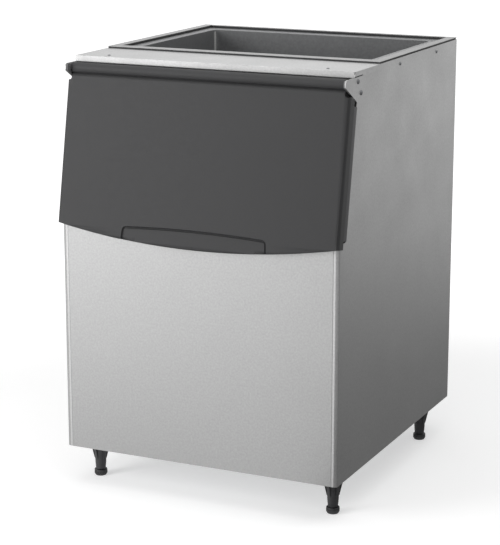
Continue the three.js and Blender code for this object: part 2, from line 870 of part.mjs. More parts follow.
function doorOuterShell() {
  const tube = prismZ(doorSection(doorHalfWidth, -doorFace, shellRear, doorEdgeRadius),
    -cornerDrop - 2 * smileDepth, -shoulderDrop);
  const face = prismY([
    [-doorHalfWidth, -shoulderDrop, shoulderRadius],
    [doorHalfWidth, -shoulderDrop, shoulderRadius],
    ...bowPoints(doorHalfWidth, -cornerDrop, smileDepth, -1),
  ], -doorFace - overrun, shellRear + overrun);
  const cavity = prismZ(doorSection(cavityReach, doorWall - doorFace, shellRear + overrun,
    doorEdgeRadius - doorWall), -cavityBottom, -cavityTopDrop);
  const behindSkirt = wideBlock(cavityReach, skirtThickness - doorFace, shellRear + overrun,
    -cornerDrop - 2 * smileDepth, -skirtDrop);
  const roll = rod('x', rollRadius, -rollHalfLength, rollHalfLength, [0, 0, 0], rollSides);
  const neckFront = neckSetBack - doorFace;
  const neck = wideBlock(rollHalfLength, neckFront, neckFront + neckDepth, -shoulderDrop - doorWall, 0);
  const seat = rod('x', bushingRadius + seatGap, rollHalfLength - bushingLength - seatGap,
    rollHalfLength + overrun, [0, 0, 0]);
  const pan = cut(tube.intersect(face), cavity, behindSkirt, earRoom());
  return cut(join(pan, roll, neck), seat, mirrored(seat), gripRecess());
}

function doorInnerTray() {
  const flangeFront = shellRear - seatGap - doorWall;
  const flange = wideBlock(cavityReach - seatGap, flangeFront, flangeFront + doorWall,
    -cavityBottom + seatGap, -cavityTopDrop - seatGap);
  const tray = wideBlock(trayHalfWidth, flangeFront, trayRear, -trayBottomDrop, -trayTopDrop);
  const plug = wideBlock(plugReach, flangeFront, trayRear + plugDepth, -plugBottom, -plugTop);
  const trayRoom = wideBlock(trayHalfWidth - doorWall, flangeFront - overrun, trayRear - doorWall,
    -trayBottomDrop + doorWall, -trayTopDrop - doorWall);
  const plugRoom = wideBlock(plugReach - doorWall, flangeFront - overrun, trayRear + plugDepth - doorWall,
    -plugBottom + doorWall, -plugTop - doorWall);
  return cut(join(flange, tray, plug), trayRoom, plugRoom, earRoom());
}

function doorFoam() {
  const front = doorWall - doorFace + seatGap;
  const flangeFront = shellRear - 2 * seatGap - doorWall;
  const wide = prismZ(doorSection(cavityReach - seatGap, front, flangeFront, doorEdgeRadius - doorWall),
    -cavityBottom + seatGap, -cavityTopDrop - seatGap);
  const skin = doorWall + seatGap;
  const tray = wideBlock(trayHalfWidth - skin, front + skin, trayRear - skin,
    -trayBottomDrop + skin, -trayTopDrop - skin);
  const plug = wideBlock(plugReach - skin, front + skin, trayRear + plugDepth - skin,
    -plugBottom + skin, -plugTop - skin);
  return join(wide, tray, plug);
}

function doorGasket() {
  const reach = trayHalfWidth - gasketInset;
  const top = trayTopDrop + gasketInset;
  const bottom = trayBottomDrop - gasketInset;
  const outer = wideBlock(reach, gasketFront, gasketFront + gasketThickness, -bottom, -top);
  const inner = wideBlock(reach - gasketWidth, gasketFront - overrun, gasketFront + gasketThickness + overrun,
    -bottom + gasketWidth, -top - gasketWidth);
  return cut(outer, inner);
}

function hingeBushing(side) {
  const end = rollHalfLength + seatGap;
  const tube = rod('x', bushingRadius, rollHalfLength - bushingLength, end + bushingFlange, [0, 0, 0]);
  const flange = rod('x', bushingFlangeRadius, end, end + bushingFlange, [0, 0, 0]);
  const bore = rod('x', pinRadius + pinClearance, rollHalfLength - bushingLength - overrun,
    end + bushingFlange + overrun, [0, 0, 0], rollSides);
  return asSeenOn(side, cut(join(tube, flange), bore));
}

// Bent plate that hooks over the liner's rim behind the header and keeps the ice off the door
function iceBaffle() {
  const face = openingFront + seatGap;
  const hook = ledgeTop + seatGap;
  const knee = ledgeTop - baffleFall;
  const foot = knee - baffleDrop;
  const section = [
    [openingFront - baffleHook, hook],
    [face, hook],
    [face, knee],
    [face - baffleLean, foot],
    [face - baffleLean + sheet, foot],
    [face + sheet, knee],
    [face + sheet, hook + sheet],
    [openingFront - baffleHook, hook + sheet],
  ];
  const reach = binHalfWidth - baffleSideGap;
  return prismX(section, -reach, reach);
}

// Legs and feet
function leg({ x, y }) {
  const top = -seatGap;
  const end = footHeight + seatGap - legHeight;
  const ribTop = top - legFlange / 2;
  const ribFoot = -legFlareDrop - 2 * legFlange;
  const body = turned([
    [0, end],
    [legTubeEndRadius, end],
    [legTubeRadius, -legFlareDrop - legFlange],
    [legFlareRadius, -legFlareDrop],
    [legTopRadius, top - legFlange],
    [legTopRadius, top],
    [0, top],
  ], x, y);
  const ribSection = (middle) => [
    [middle - legTopRadius, ribTop],
    [middle + legTopRadius, ribTop],
    [middle + legTubeRadius, ribFoot],
    [middle - legTubeRadius, ribFoot],
  ];
  const rib = prismX(ribSection(y), x - legRib / 2, x + legRib / 2);
  const crossRib = prismY(ribSection(x), y - legRib / 2, y + legRib / 2);
  const stemRoom = rod('z', footStemRadius + stemClearance, end - overrun, end + footStem + seatGap,
    [x, y, 0]);
  const boltRoom = rod('z', boltRadius + seatGap, -boltDepth - seatGap, overrun, [x, y, 0]);
  return cut(join(body, rib, crossRib), stemRoom, boltRoom);
}

function foot({ x, y }) {
  const bottom = -legHeight;
  const top = bottom + footHeight;
  return turned([
    [0, bottom],
    [footRadius - footChamfer, bottom],
    [footRadius, bottom + footChamfer],
    [footRadius, top - footTopChamfer],
    [footRadius - footTopChamfer, top],
    [footStemRadius, top],
    [footStemRadius, top + footStem],
    [0, top + footStem],
  ], x, y);
}

// Hexagon bolt from inside the cabinet down into the leg
function legBolt({ x, y }) {
  const seat = foamBottom + barThickness + seatGap;
  const shank = rod('z', boltRadius, -boltDepth, seat + boltHead / 2, [x, y, 0]);
  return join(shank, rod('z', boltHeadRadius, seat, seat + boltHead, [x, y, 0], hexSides));
}

// Drain: a flanged pipe from the sump through the back, its locknut, and the strainer over the sump
function drainPipe() {
  const at = [0, 0, drainHeight];
  const inside = openingRear - seatGap;
  const outside = cabinetDepth + drainStub;
  const tube = rod('y', drainRadius, inside - drainFlange, outside, at);
  const flange = rod('y', drainFlangeRadius, inside - drainFlange, inside, at);
  return cut(join(tube, flange), rod('y', drainBore, inside - overrun, outside + overrun, at));
}

function drainLocknut() {
  const at = [0, 0, drainHeight];
  const front = backPanelFront + sheet + seatGap;
  const nut = rod('y', drainNutRadius, front, front + drainNutHeight, at, hexSides);
  return cut(nut, rod('y', drainRadius + seatGap, front - overrun, front + drainNutHeight + overrun, at));
}

function drainStrainer() {
  const front = sumpFront - strainerMargin;
  const rear = openingRear - seatGap;
  const reach = sumpHalfWidth + strainerMargin;
  const plate = prismX([
    [front, floorAt(front) + seatGap],
    [rear, floorAt(rear) + seatGap],
    [rear, floorAt(rear) + seatGap + strainerThickness],
    [front, floorAt(front) + seatGap + strainerThickness],
  ], -reach, reach);
  const pitch = 2 * sumpHalfWidth / strainerSlots;
  const slots = [];
  for (let i = 0; i < strainerSlots; i += 1) {
    const x = pitch * (i + 1 / 2) - sumpHalfWidth;
    slots.push(block(x - strainerSlotWidth / 2, x + strainerSlotWidth / 2, sumpFront + strainerMargin,
      rear - 2 * strainerMargin, sumpFloor, floorThickness + floorRise + overrun));
  }
  return cut(plate, ...slots);
}

// Assembly
const bin = new THREE.Group();
const cabinet = new THREE.Group();
const slantedFrame = new THREE.Group();
const door = new THREE.Group();
bin.add(cabinet, slantedFrame, door);
for (const group of [slantedFrame, door]) {
  group.position.set(0, hingeDepth, hingeHeight);
  group.rotation.x = -tilt;
}

const sides = [['left', -1], ['right', 1]];
for (const [word, side] of sides) {
  cabinet.add(
    named(`${word}_side_panel`, sidePanel(side), finish.stainless),
    named(`insulation_${word}`, sideFoam(side), finish.foam),
    named(`${word}_hinge_bracket`, hingeBracket(side), finish.darkPlastic),
    named(`${word}_hinge_pin`, hingePin(side), finish.zinc),
    named(`${word}_base_bar`, baseBar(side), finish.galvanised),
  );
  sideScrews.forEach((place, i) => {
    cabinet.add(named(`${word}_side_screw_${i + 1}`, sideScrew(side, place), finish.zinc));
  });
  door.add(named(`${word}_hinge_bushing`, hingeBushing(side), finish.nylon));
}
for (const place of legPlaces()) {
  cabinet.add(
    named(`${place.name}_leg`, leg(place), finish.blackPlastic),
    named(`${place.name}_foot`, foot(place), finish.blackPlastic),
    named(`${place.name}_leg_bolt`, legBolt(place), finish.zinc),
  );
}
cabinet.add(
  named('front_panel', frontPanel(), finish.stainless),
  named('back_panel', backPanel(), finish.galvanised),
  named('base_pan', basePan(), finish.galvanised),
  named('top_front_rail', topFrontRail(), finish.stainless),
  named('top_seal', topSeal(), finish.rubber),
  named('top_frame', topFrame(), finish.stainless),
  named('bin_liner', binLiner(), finish.linerPlastic),
  named('insulation_rear', rearFoam(), finish.foam),
  named('insulation_front', frontFoam(), finish.foam),
  named('insulation_floor', floorFoam(), finish.foam),
  named('insulation_header', headerFoam(), finish.foam),
  named('ice_baffle', iceBaffle(), finish.stainless),
  named('drain_pipe', drainPipe(), finish.blackPlastic),
  named('drain_locknut', drainLocknut(), finish.blackPlastic),
  named('drain_strainer', drainStrainer(), finish.stainless),
);
railScrews.forEach((place, i) => cabinet.add(named(`rail_screw_${i + 1}`, railScrew(place), finish.zinc)));
rearScrewPlaces().forEach((place, i) => {
  cabinet.add(named(`back_panel_screw_${i + 1}`, rearScrew(place), finish.zinc));
});
slantedFrame.add(named('opening_frame', openingFrame(), finish.darkPlastic));
door.add(
  named('door_outer_shell', doorOuterShell(), finish.darkPlastic),
  named('door_inner_tray', doorInnerTray(), finish.darkPlastic),
  named('door_insulation', doorFoam(), finish.foam),
  named('door_gasket', doorGasket(), finish.rubber),
);

// The origin is the bottom centre of the whole bin.
bin.updateMatrixWorld(true);
const bounds = new THREE.Box3().setFromObject(bin, true);
const middle = bounds.getCenter(new THREE.Vector3());
bin.position.set(-middle.x, -middle.y, -bounds.min.z);
bin.updateMatrixWorld(true);

export default bin;
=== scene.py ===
# Ice storage bin dressed for rendering: satin steel cabinet, charcoal moulded door, black legs.
# The scene is in metres with z up and the door towards -y; sizes in the dictionaries are millimetres.
import json
import math
from contextlib import contextmanager
import bmesh
import bpy
from mathutils import Matrix, Vector


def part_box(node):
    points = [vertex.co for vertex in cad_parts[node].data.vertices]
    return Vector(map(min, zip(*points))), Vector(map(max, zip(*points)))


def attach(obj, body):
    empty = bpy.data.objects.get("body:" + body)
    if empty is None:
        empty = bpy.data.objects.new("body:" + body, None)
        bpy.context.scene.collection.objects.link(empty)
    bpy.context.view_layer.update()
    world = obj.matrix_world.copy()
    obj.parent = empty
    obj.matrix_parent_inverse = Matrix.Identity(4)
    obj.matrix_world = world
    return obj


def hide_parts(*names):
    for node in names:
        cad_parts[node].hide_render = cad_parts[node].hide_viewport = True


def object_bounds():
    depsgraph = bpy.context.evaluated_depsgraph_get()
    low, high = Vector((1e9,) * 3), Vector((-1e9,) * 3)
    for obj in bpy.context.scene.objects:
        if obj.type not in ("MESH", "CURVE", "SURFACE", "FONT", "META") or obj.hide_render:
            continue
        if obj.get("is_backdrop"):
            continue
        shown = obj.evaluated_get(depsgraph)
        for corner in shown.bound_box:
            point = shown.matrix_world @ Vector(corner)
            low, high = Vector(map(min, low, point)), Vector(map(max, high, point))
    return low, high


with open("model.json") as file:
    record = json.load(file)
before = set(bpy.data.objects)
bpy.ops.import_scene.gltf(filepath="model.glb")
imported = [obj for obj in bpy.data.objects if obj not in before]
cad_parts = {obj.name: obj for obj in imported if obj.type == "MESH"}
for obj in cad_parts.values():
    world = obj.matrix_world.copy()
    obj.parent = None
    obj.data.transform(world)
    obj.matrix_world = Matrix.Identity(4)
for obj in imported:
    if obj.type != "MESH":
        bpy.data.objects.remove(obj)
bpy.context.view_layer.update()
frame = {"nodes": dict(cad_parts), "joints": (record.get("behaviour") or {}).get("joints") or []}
print("frame loaded:", len(frame["nodes"]), "nodes")

mm = 0.001
sides = (("left", -1), ("right", 1))
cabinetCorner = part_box("front_panel")[0]
hingeLine = Vector(next(j["pos_m"] for j in frame["joints"] if j["name"] == "door_hinge"))
doorTilt = math.radians(10.3)
# An edge counts as sharp above the first angle, and two faces as one flat below the second.
sharpAngle, flatAngle = math.radians(40), math.radians(0.5)
# Corners nearer to each other than this are joined: in a new mesh, in the copy of a node, in the
# door's shell, and in the shell once its grip is pressed in.
weldGap = {"new": 0.001, "copy": 0.02, "shell": 0.05, "grip": 0.01}


# A place given in the cabinet's own millimetres: x from the middle, y back from the front, z up.
def inCabinet(x, y, z):
    return Vector((x * mm, cabinetCorner.y + y * mm, cabinetCorner.z + z * mm))


# A place on the tilted door: millimetres across, back from and up from the hinge line.
def onDoor(x, back, up):
    y = back * math.cos(doorTilt) + up * math.sin(doorTilt)
    z = up * math.cos(doorTilt) - back * math.sin(doorTilt)
    return Vector((x * mm, hingeLine.y + y * mm, hingeLine.z + z * mm))


# The values of several keys, which stand in one string
def picked(sizes, keys):
    return [sizes[key] for key in keys.split()]


def linked(name, data):
    added = bpy.data.objects.new(name, data)
    bpy.context.scene.collection.objects.link(added)
    return added


# Camera: long lens, a quarter turn to the right of the front and a little above it
cameraView = {
    "turn": 25.04, "lift": 13.79, "distance": 4980, "right": -42.3, "up": -93.3,
    "pixelsPerTangent": 1863, "imageHeight": 545, "sensor": 36, "clipEnd": 100,
}


def placeCamera():
    turn, lift = math.radians(cameraView["turn"]), math.radians(cameraView["lift"])
    ahead = Vector((-math.sin(turn) * math.cos(lift), math.cos(turn) * math.cos(lift), -math.sin(lift)))
    right = Vector((math.cos(turn), math.sin(turn), 0))
    up = right.cross(ahead)
    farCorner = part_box("top_frame")[1]
    middle = Vector((0, (cabinetCorner.y + farCorner.y) / 2, (cabinetCorner.z + farCorner.z) / 2))
    data = bpy.data.cameras.new("camera")
    data.sensor_width = cameraView["sensor"]
    data.lens = cameraView["pixelsPerTangent"] / cameraView["imageHeight"] * data.sensor_width
    data.clip_end = cameraView["clipEnd"]
    camera = linked("camera", data)
    camera.location = (middle + right * cameraView["right"] * mm + up * cameraView["up"] * mm
                       - ahead * cameraView["distance"] * mm)
    camera.rotation_mode = "QUATERNION"
    camera.rotation_quaternion = ahead.to_track_quat("-Z", "Y")
    bpy.context.scene.camera = camera


placeCamera()
print("camera placed")


# One node of any tree with its settings and links. An input's value is a plain value, a socket, or a
# node for its first output.
def addNode(tree, kind, inputs=None, **settings):
    node = tree.nodes.new(kind)
    for setting, value in settings.items():
        setattr(node, setting, value)
    for socket, value in (inputs or {}).items():
        if isinstance(value, bpy.types.Node):
            value = value.outputs[0]
        if isinstance(value, bpy.types.NodeSocket):
            tree.links.new(value, node.inputs[socket])
        else:
            node.inputs[socket].default_value = value
    return node


# "#rrggbb" in sRGB to linear colour
def colour(code):
    channels = [int(code[i:i + 2], 16) / 255 for i in (1, 3, 5)]
    return [c / 12.92 if c <= 0.04045 else ((c + 0.055) / 1.055) ** 2.4 for c in channels] + [1]


# Noise whose cells measure these millimetres along x, y and z
def noiseOf(tree, sizes, detail=2):
    place = addNode(tree, "ShaderNodeTexCoord").outputs["Object"]
    spread = addNode(tree, "ShaderNodeMapping",
                     {"Vector": place, "Scale": [1 / (size * mm) for size in sizes]})
    return addNode(tree, "ShaderNodeTexNoise", {"Vector": spread, "Scale": 1, "Detail": detail})


def spreadTo(tree, value, low, high):
    return addNode(tree, "ShaderNodeMapRange", {
        "Value": value, "From Min": 0.3, "From Max": 0.7, "To Min": low, "To Max": high})


# From a finish's dark colour to its light one
def tinted(tree, factor, sizes):
    return addNode(tree, "ShaderNodeMix", {0: factor, 6: colour(sizes["dark"]), 7: colour(sizes["light"])},
                   data_type="RGBA").outputs[2]


def bumpOf(tree, height, distance, under=None):
    inputs = {"Height": height, "Distance": distance * mm, "Strength": 1.0}
    if under is not None:
        inputs["Normal"] = under
    return addNode(tree, "ShaderNodeBump", inputs)


def startMaterial(name):
    material = bpy.data.materials.new(name)
    material.use_nodes = True
    material.node_tree.nodes.clear()
    return material, material.node_tree


def endMaterial(tree, inputs):
    shader = addNode(tree, "ShaderNodeBsdfPrincipled", inputs)
    addNode(tree, "ShaderNodeOutputMaterial", {"Surface": shader})


# Stainless steel sheet, rolled and given a satin sanded finish: soft wide highlights, a fleck a few
# millimetres across and faint sanding lines. The lines are drawn 2 mm apart, as finer ones don't show.
satinSteel = {
    "light": "#a5a5a5", "dark": "#9a9a9a", "fleck": 5, "line": 2.0, "lineLength": 90, "smudge": 140,
    "roughness": (0.40, 0.48), "fleckDepth": 0.02, "lineDepth": 0.012,
}


# The sanding lines follow the axis named grain; the changes are to satinSteel's values.
def makeSatinSteel(name, grain, **changes):
    sizes = dict(satinSteel, **changes)
    material, tree = startMaterial(name)
    fleck = noiseOf(tree, [sizes["fleck"]] * 3, 3)
    lines = noiseOf(tree, [sizes["lineLength" if axis == grain else "line"] for axis in "xyz"])
    smudge = noiseOf(tree, [sizes["smudge"]] * 3)
    relief = bumpOf(tree, fleck, sizes["fleckDepth"])
    endMaterial(tree, {
        "Base Color": tinted(tree, spreadTo(tree, fleck, 0, 1), sizes), "Metallic": 1.0,
        "Roughness": spreadTo(tree, smudge, *sizes["roughness"]),
        "Normal": bumpOf(tree, lines, sizes["lineDepth"], relief),
    })
    return material


steelAcross = makeSatinSteel("satinStainlessAcross", "x")
# The side panels and the rail are a shade duller, and the sides smoother.
steelFrontToBack = makeSatinSteel("satinStainlessFrontToBack", "y", roughness=(0.44, 0.52),
                                  fleckDepth=0.012, lineDepth=0.009)
railSheet = makeSatinSteel("satinStainlessRail", "x", light="#ababab", dark="#a0a0a0",
                           roughness=(0.48, 0.56))
# Along both edges of the front the grain runs up and down. This strip's steel is painted a lighter grey, a
# painted sheen for the brighter reflection there.
uprightSheenSteel = makeSatinSteel("satinStainlessUpright", "z", light="#b8b8b8", dark="#adadad",
                         roughness=(0.52, 0.6))
# The frame on top is the same sheet with a duller mill finish.
ringSteel = makeSatinSteel("dullStainless", "y", light="#8d8d8d", dark="#838383", roughness=(0.46, 0.54))


# Moulded plastic: matt, evenly stippled, faintly mottled like the door's shell. Changes are to these.
mouldedPlastic = {
    "light": "#333334", "dark": "#2e2e2f", "mottle": 7, "stipple": 1.8, "stippleDepth": 0.05,
    "roughness": (0.60, 0.68), "ior": 1.5,
}


def makeMoulded(name, **changes):
    sizes = dict(mouldedPlastic, **changes)
    material, tree = startMaterial(name)
    mottle = noiseOf(tree, [sizes["mottle"]] * 3, 3)
    stipple = noiseOf(tree, [sizes["stipple"]] * 3, 1)
    endMaterial(tree, {
        "Base Color": tinted(tree, spreadTo(tree, mottle, 0, 1), sizes), "IOR": sizes["ior"],
        "Roughness": spreadTo(tree, mottle, *sizes["roughness"]),
        "Normal": bumpOf(tree, stipple, sizes["stippleDepth"]),
    })
    return material


# ABS, injection moulded in a spark-eroded tool, a lighter grey for the door's inner tray
doorPlastic = makeMoulded("charcoalAbs", ior=1.43)
rimPlastic = makeMoulded("greyAbs", light="#505051", dark="#4b4b4c", ior=1.43)
# Acetal for the hinge brackets: a lighter grey than the door, satin from its tool
bracketPlastic = makeMoulded("greyAcetal", light="#6c6c6d", dark="#616162", mottle=6, stipple=1.6,
                             stippleDepth=0.03, roughness=(0.42, 0.5), ior=1.48)
# Glass-filled nylon for the legs: near black, slightly glossy on its edges, finely pitted
blackNylon = makeMoulded("blackGlassNylon", light="#3b3b3d", dark="#303031", mottle=9, stipple=1.4,
                         stippleDepth=0.06, roughness=(0.42, 0.55))
# High-impact polystyrene sheet, thermoformed for the liner: grey, satin, slightly wavy
linerSheet = makeMoulded("greyPolystyreneSheet", light="#6c6d6e", dark="#606162", mottle=6, stipple=3.0,
                         stippleDepth=0.04, roughness=(0.42, 0.52))
# Extruded PVC for gaskets and seals: soft black with a dull bloom
blackRubber = makeMoulded("blackPvcGasket", light="#2b2b2c", dark="#1d1d1e", mottle=12, stipple=1.2,
                          stippleDepth=0.03, roughness=(0.62, 0.8))
# Natural nylon, turned from bar for the bushings: milky white, waxy
whiteNylon = makeMoulded("naturalNylon", light="#e6e3da", dark="#d9d6cc", mottle=4, stipple=0.8,
                         stippleDepth=0.01, roughness=(0.35, 0.45))
# Pale grey bead up each rear corner of the liner: its pale colour is a painted highlight, the light line
# along each corner. Satin, finely stippled.
cornerHighlightPaint = makeMoulded("paleSilicone", light="#a9a9a8", dark="#9c9c9b", mottle=5, stipple=2.2,
                      roughness=(0.35, 0.5), ior=1.41)
# Polyurethane foamed in place between skin and liner: straw coloured, open cells at cut faces
wallFoam = makeMoulded("polyurethaneFoam", light="#dccf9f", dark="#c3b27c", mottle=5, stipple=1.6,
                       stippleDepth=0.5, roughness=(0.9, 0.95))
# Hot-dip galvanised sheet: dull zinc in leafy crystals about a thumbnail wide
zincSpangle = {
    "light": "#a4a7a9", "dark": "#94979a", "crystal": 14, "roughness": (0.42, 0.62), "grit": 2,
    "gritDepth": 0.01,
}


def makeGalvanised(sizes=zincSpangle):
    material, tree = startMaterial("galvanisedSheet")
    place = addNode(tree, "ShaderNodeTexCoord").outputs["Object"]
    crystals = addNode(tree, "ShaderNodeTexVoronoi", {
        "Vector": place, "Scale": 1 / (sizes["crystal"] * mm), "Randomness": 1.0,
    })
    grey = addNode(tree, "ShaderNodeSeparateColor", {0: crystals.outputs["Color"]})
    endMaterial(tree, {
        "Base Color": tinted(tree, grey, sizes), "Metallic": 0.9,
        "Roughness": spreadTo(tree, grey, *sizes["roughness"]),
        "Normal": bumpOf(tree, noiseOf(tree, [sizes["grit"]] * 3, 3), sizes["gritDepth"]),
    })
    return material


# Zinc-plated steel for screws, bolts and pins: bluish grey, bright on its edges, turning marks
platedSteel = {
    "light": "#808183", "dark": "#6c6d6f", "mottle": 1.5, "markDepth": 0.01, "roughness": (0.5, 0.6),
}


def makePlated(sizes=platedSteel):
    material, tree = startMaterial("zincPlatedSteel")
    mottle = noiseOf(tree, [sizes["mottle"]] * 3, 3)
    endMaterial(tree, {
        "Base Color": tinted(tree, spreadTo(tree, mottle, 0, 1), sizes), "Metallic": 1.0,
        "Roughness": spreadTo(tree, mottle, *sizes["roughness"]),
        "Normal": bumpOf(tree, mottle, sizes["markDepth"]),
    })
    return material


zincSheet, zincScrew = makeGalvanised(), makePlated()
print("materials made")


# Finishing of a new piece: its body and the nodes that it stands for
def fit(piece, body, nodes=()):
    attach(piece, body)
    if nodes:
        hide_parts(*nodes)
    return piece


def smoothed(mesh, angle):
    mesh.shade_smooth()
    mesh.set_sharp_from_angle(angle=math.radians(angle))


def weighNormals(piece):
    piece.modifiers.new("flatNormals", "WEIGHTED_NORMAL").keep_sharp = True


def newObject(name, mesh, material):
    mesh.name = name
    mesh.materials.clear()
    mesh.materials.append(material)
    return linked(name, mesh)


def newPiece(name, mesh, material, body, nodes=(), angle=40):
    smoothed(mesh, angle)
    return fit(newObject(name, mesh, material), body, nodes)


# A mesh's shape, opened for a change and written back after it
@contextmanager
def opened(mesh):
    shape = bmesh.new()
    shape.from_mesh(mesh)
    yield shape
    shape.to_mesh(mesh)
    shape.free()


def weld(shape, case):
    bmesh.ops.remove_doubles(shape, verts=shape.verts, dist=weldGap[case] * mm)


def joinFlats(shape):
    bmesh.ops.dissolve_limit(shape, angle_limit=flatAngle, verts=shape.verts, edges=shape.edges)


# A mesh of quads from each ring of points to the next; caps are the faces that close both end rings.
def ringMesh(name, rings, caps=()):
    count = len(rings[0])
    last = (len(rings) - 1) * count
    faces = [(a + i, a + (i + 1) % count, a + count + (i + 1) % count, a + count + i)
             for a in range(0, last, count) for i in range(count)]
    for cap in caps:
        faces += [tuple(cap), tuple(last + i for i in cap)]
    mesh = bpy.data.meshes.new(name)
    mesh.from_pydata([point for ring in rings for point in ring], [], faces)
    with opened(mesh) as shape:
        weld(shape, "new")
        bmesh.ops.recalc_face_normals(shape, faces=shape.faces)
    return mesh


# A turned shape about z: pairs of radius and height in millimetres, from one pole to the other
def turnedMesh(name, profile, steps):
    angles = [2 * math.pi * i / steps for i in range(steps)]
    return ringMesh(name, [[(radius * mm * math.cos(angle), radius * mm * math.sin(angle), height * mm)
                            for angle in angles] for radius, height in profile])


def roundEdges(shape, edges, width, segments=2, profile=0.5, clamp=False):
    bmesh.ops.bevel(shape, geom=edges, offset=width * mm, segments=segments, profile=profile,
                    affect="EDGES", clamp_overlap=clamp)


def sharpEdges(shape):
    return [e for e in shape.edges if len(e.link_faces) == 2 and e.calc_face_angle() > sharpAngle]


# The plane square to an axis at a place in millimetres
def planeAt(axis, place):
    direction = Vector([float(axis == name) for name in "xyz"])
    return direction * (place * mm), direction


# Cuts the zone, or else the whole shape, along the planes
def bisected(shape, planes, zone=None):
    zone = zone or shape.faces[:] + shape.edges[:] + shape.verts[:]
    for place, direction in planes:
        zone = bmesh.ops.bisect_plane(shape, geom=zone, dist=1e-6, plane_co=place, plane_no=direction)["geom"]
    return zone


def cornersOf(zone):
    return dict.fromkeys(item for item in zone if isinstance(item, bmesh.types.BMVert))


# Faces of which every corner passes the test, with their edges and corners
def facesWhere(shape, test):
    faces = [f for f in shape.faces if all(test(*(v.co / mm)) for v in f.verts)]
    return faces + list({e for f in faces for e in f.edges}) + list({v for f in faces for v in f.verts})


# How far a value has come from the start to the end, between 0 and 1
def progress(value, start, end):
    return min(max((value - start) / (end - start), 0), 1)


def eased(share):
    return share * share * (3 - 2 * share)


def camel(node):
    first, *others = node.split("_")
    return first + "".join(word.capitalize() for word in others)


# A node's shape with its flat faces joined up and its edges broken by the width of a real edge
def edgesBroken(node, material, width, name=None, segments=2, body="cabinet"):
    mesh = frame["nodes"][node].data.copy()
    with opened(mesh) as shape:
        weld(shape, "copy")
        joinFlats(shape)
    piece = newPiece(name or camel(node), mesh, material, body, [node])
    bevel = piece.modifiers.new("brokenEdges", "BEVEL")
    bevel.width = width * mm
    bevel.segments = segments
    bevel.limit_method = "ANGLE"
    bevel.angle_limit = sharpAngle
    weighNormals(piece)
    return piece


# The side panel is folded at its front corner in two presses, so that a narrow flat runs between the
# bends. The flat faces along slope, and its start is how far it begins from the front's end.
cornerFold = {
    "x": 373, "back": 8, "outer": 8, "inner": 6.8, "slope": (4, 7), "start": 1, "sheet": 1.2, "slack": 0.1,
}


def flattenBend(mesh, sizes=cornerFold):
    a, b = sizes["slope"]
    reach = a * sizes["start"] + b * sizes["outer"]
    bends = ((sizes["outer"], reach), (sizes["inner"], reach - sizes["sheet"] * math.hypot(a, b)))
    for point in mesh.vertices:
        x = abs(point.co.x) / mm - sizes["x"]
        y = cabinetCorner.y / mm + sizes["back"] - point.co.y / mm
        for radius, limit in bends:
            if min(x, y) > 2 * sizes["slack"] and abs(math.hypot(x, y) - radius) < sizes["slack"]:
                growth = min(limit / (a * x + b * y), radius / x) - 1
                point.co.x += math.copysign(x * growth * mm, point.co.x)
                point.co.y -= y * growth * mm


# The strip along each edge of the front stands almost level with it, behind a fine groove. Depths
# are from the front's face: rear is behind its sheet, and inner is its inner face.
frontEdge = {
    "bend": 365.7, "groove": 366.1, "strip": 366.6, "grooveDepth": 0.9, "setBack": 0.15, "rear": 1.8,
    "inner": 1.05, "slack": 0.2,
}


def shapeFrontEdges(piece, sizes=frontEdge):
    # The strips take the same steel painted lighter, a painted sheen.
    piece.data.materials.append(uprightSheenSteel)
    slack = sizes["slack"]
    with opened(piece.data) as shape:
        bisected(shape, [planeAt("x", side * sizes[key]) for _, side in sides for key in ("groove", "strip")])
        for point in shape.verts:
            place, depth = abs(point.co.x) / mm, (point.co.y - cabinetCorner.y) / mm
            inner = depth > sizes["inner"] and place < sizes["strip"] + slack
            if place > sizes["bend"] + slack and depth < sizes["rear"] and not inner:
                key = "grooveDepth" if place < sizes["groove"] + slack else "setBack"
                point.co.y = cabinetCorner.y + sizes[key] * mm
        for face in shape.faces:
            if face.normal.y < -0.9 and abs(face.calc_center_median().x) > sizes["strip"] * mm:
                face.material_index = 1


# Steel skin. Cut and folded sheet edges are broken by a few tenths.
skinEdges = {"panel": 0.35, "rail": 0.8, "ring": 0.35, "baffle": 0.3, "bar": 0.5}
for word, _ in sides:
    sidePanel = edgesBroken(word + "_side_panel", steelFrontToBack, skinEdges["panel"])
    flattenBend(sidePanel.data)
shapeFrontEdges(edgesBroken("front_panel", steelAcross, skinEdges["panel"]))
topRail = edgesBroken("top_front_rail", railSheet, skinEdges["rail"], "topRail", 3)
edgesBroken("top_frame", ringSteel, skinEdges["ring"], "topRing")
for node in ("ice_baffle", "drain_strainer"):
    edgesBroken(node, steelAcross, skinEdges["baffle"])
for node in ("back_panel", "base_pan"):
    edgesBroken(node, zincSheet, skinEdges["panel"])


# The rail's lip turns under along its lower edge. Its side lips stand off the ears at the front, over
# a strip of tape, and the relief at each front corner is wider than its bend.
railFold = {
    "sheet": 1.2, "radius": 4.5, "back": 8, "turns": 6, "slotDepth": 48, "slotRamp": 1.5, "slot": 2.8,
    "relief": 1.8, "reliefGrowth": 2.0, "tape": 0.9, "tapeGap": 0.1, "tapeEdge": 0.2, "tapeFrom": 2,
    "tapeShort": 1, "clear": 0.3, "slack": 0.1,
}


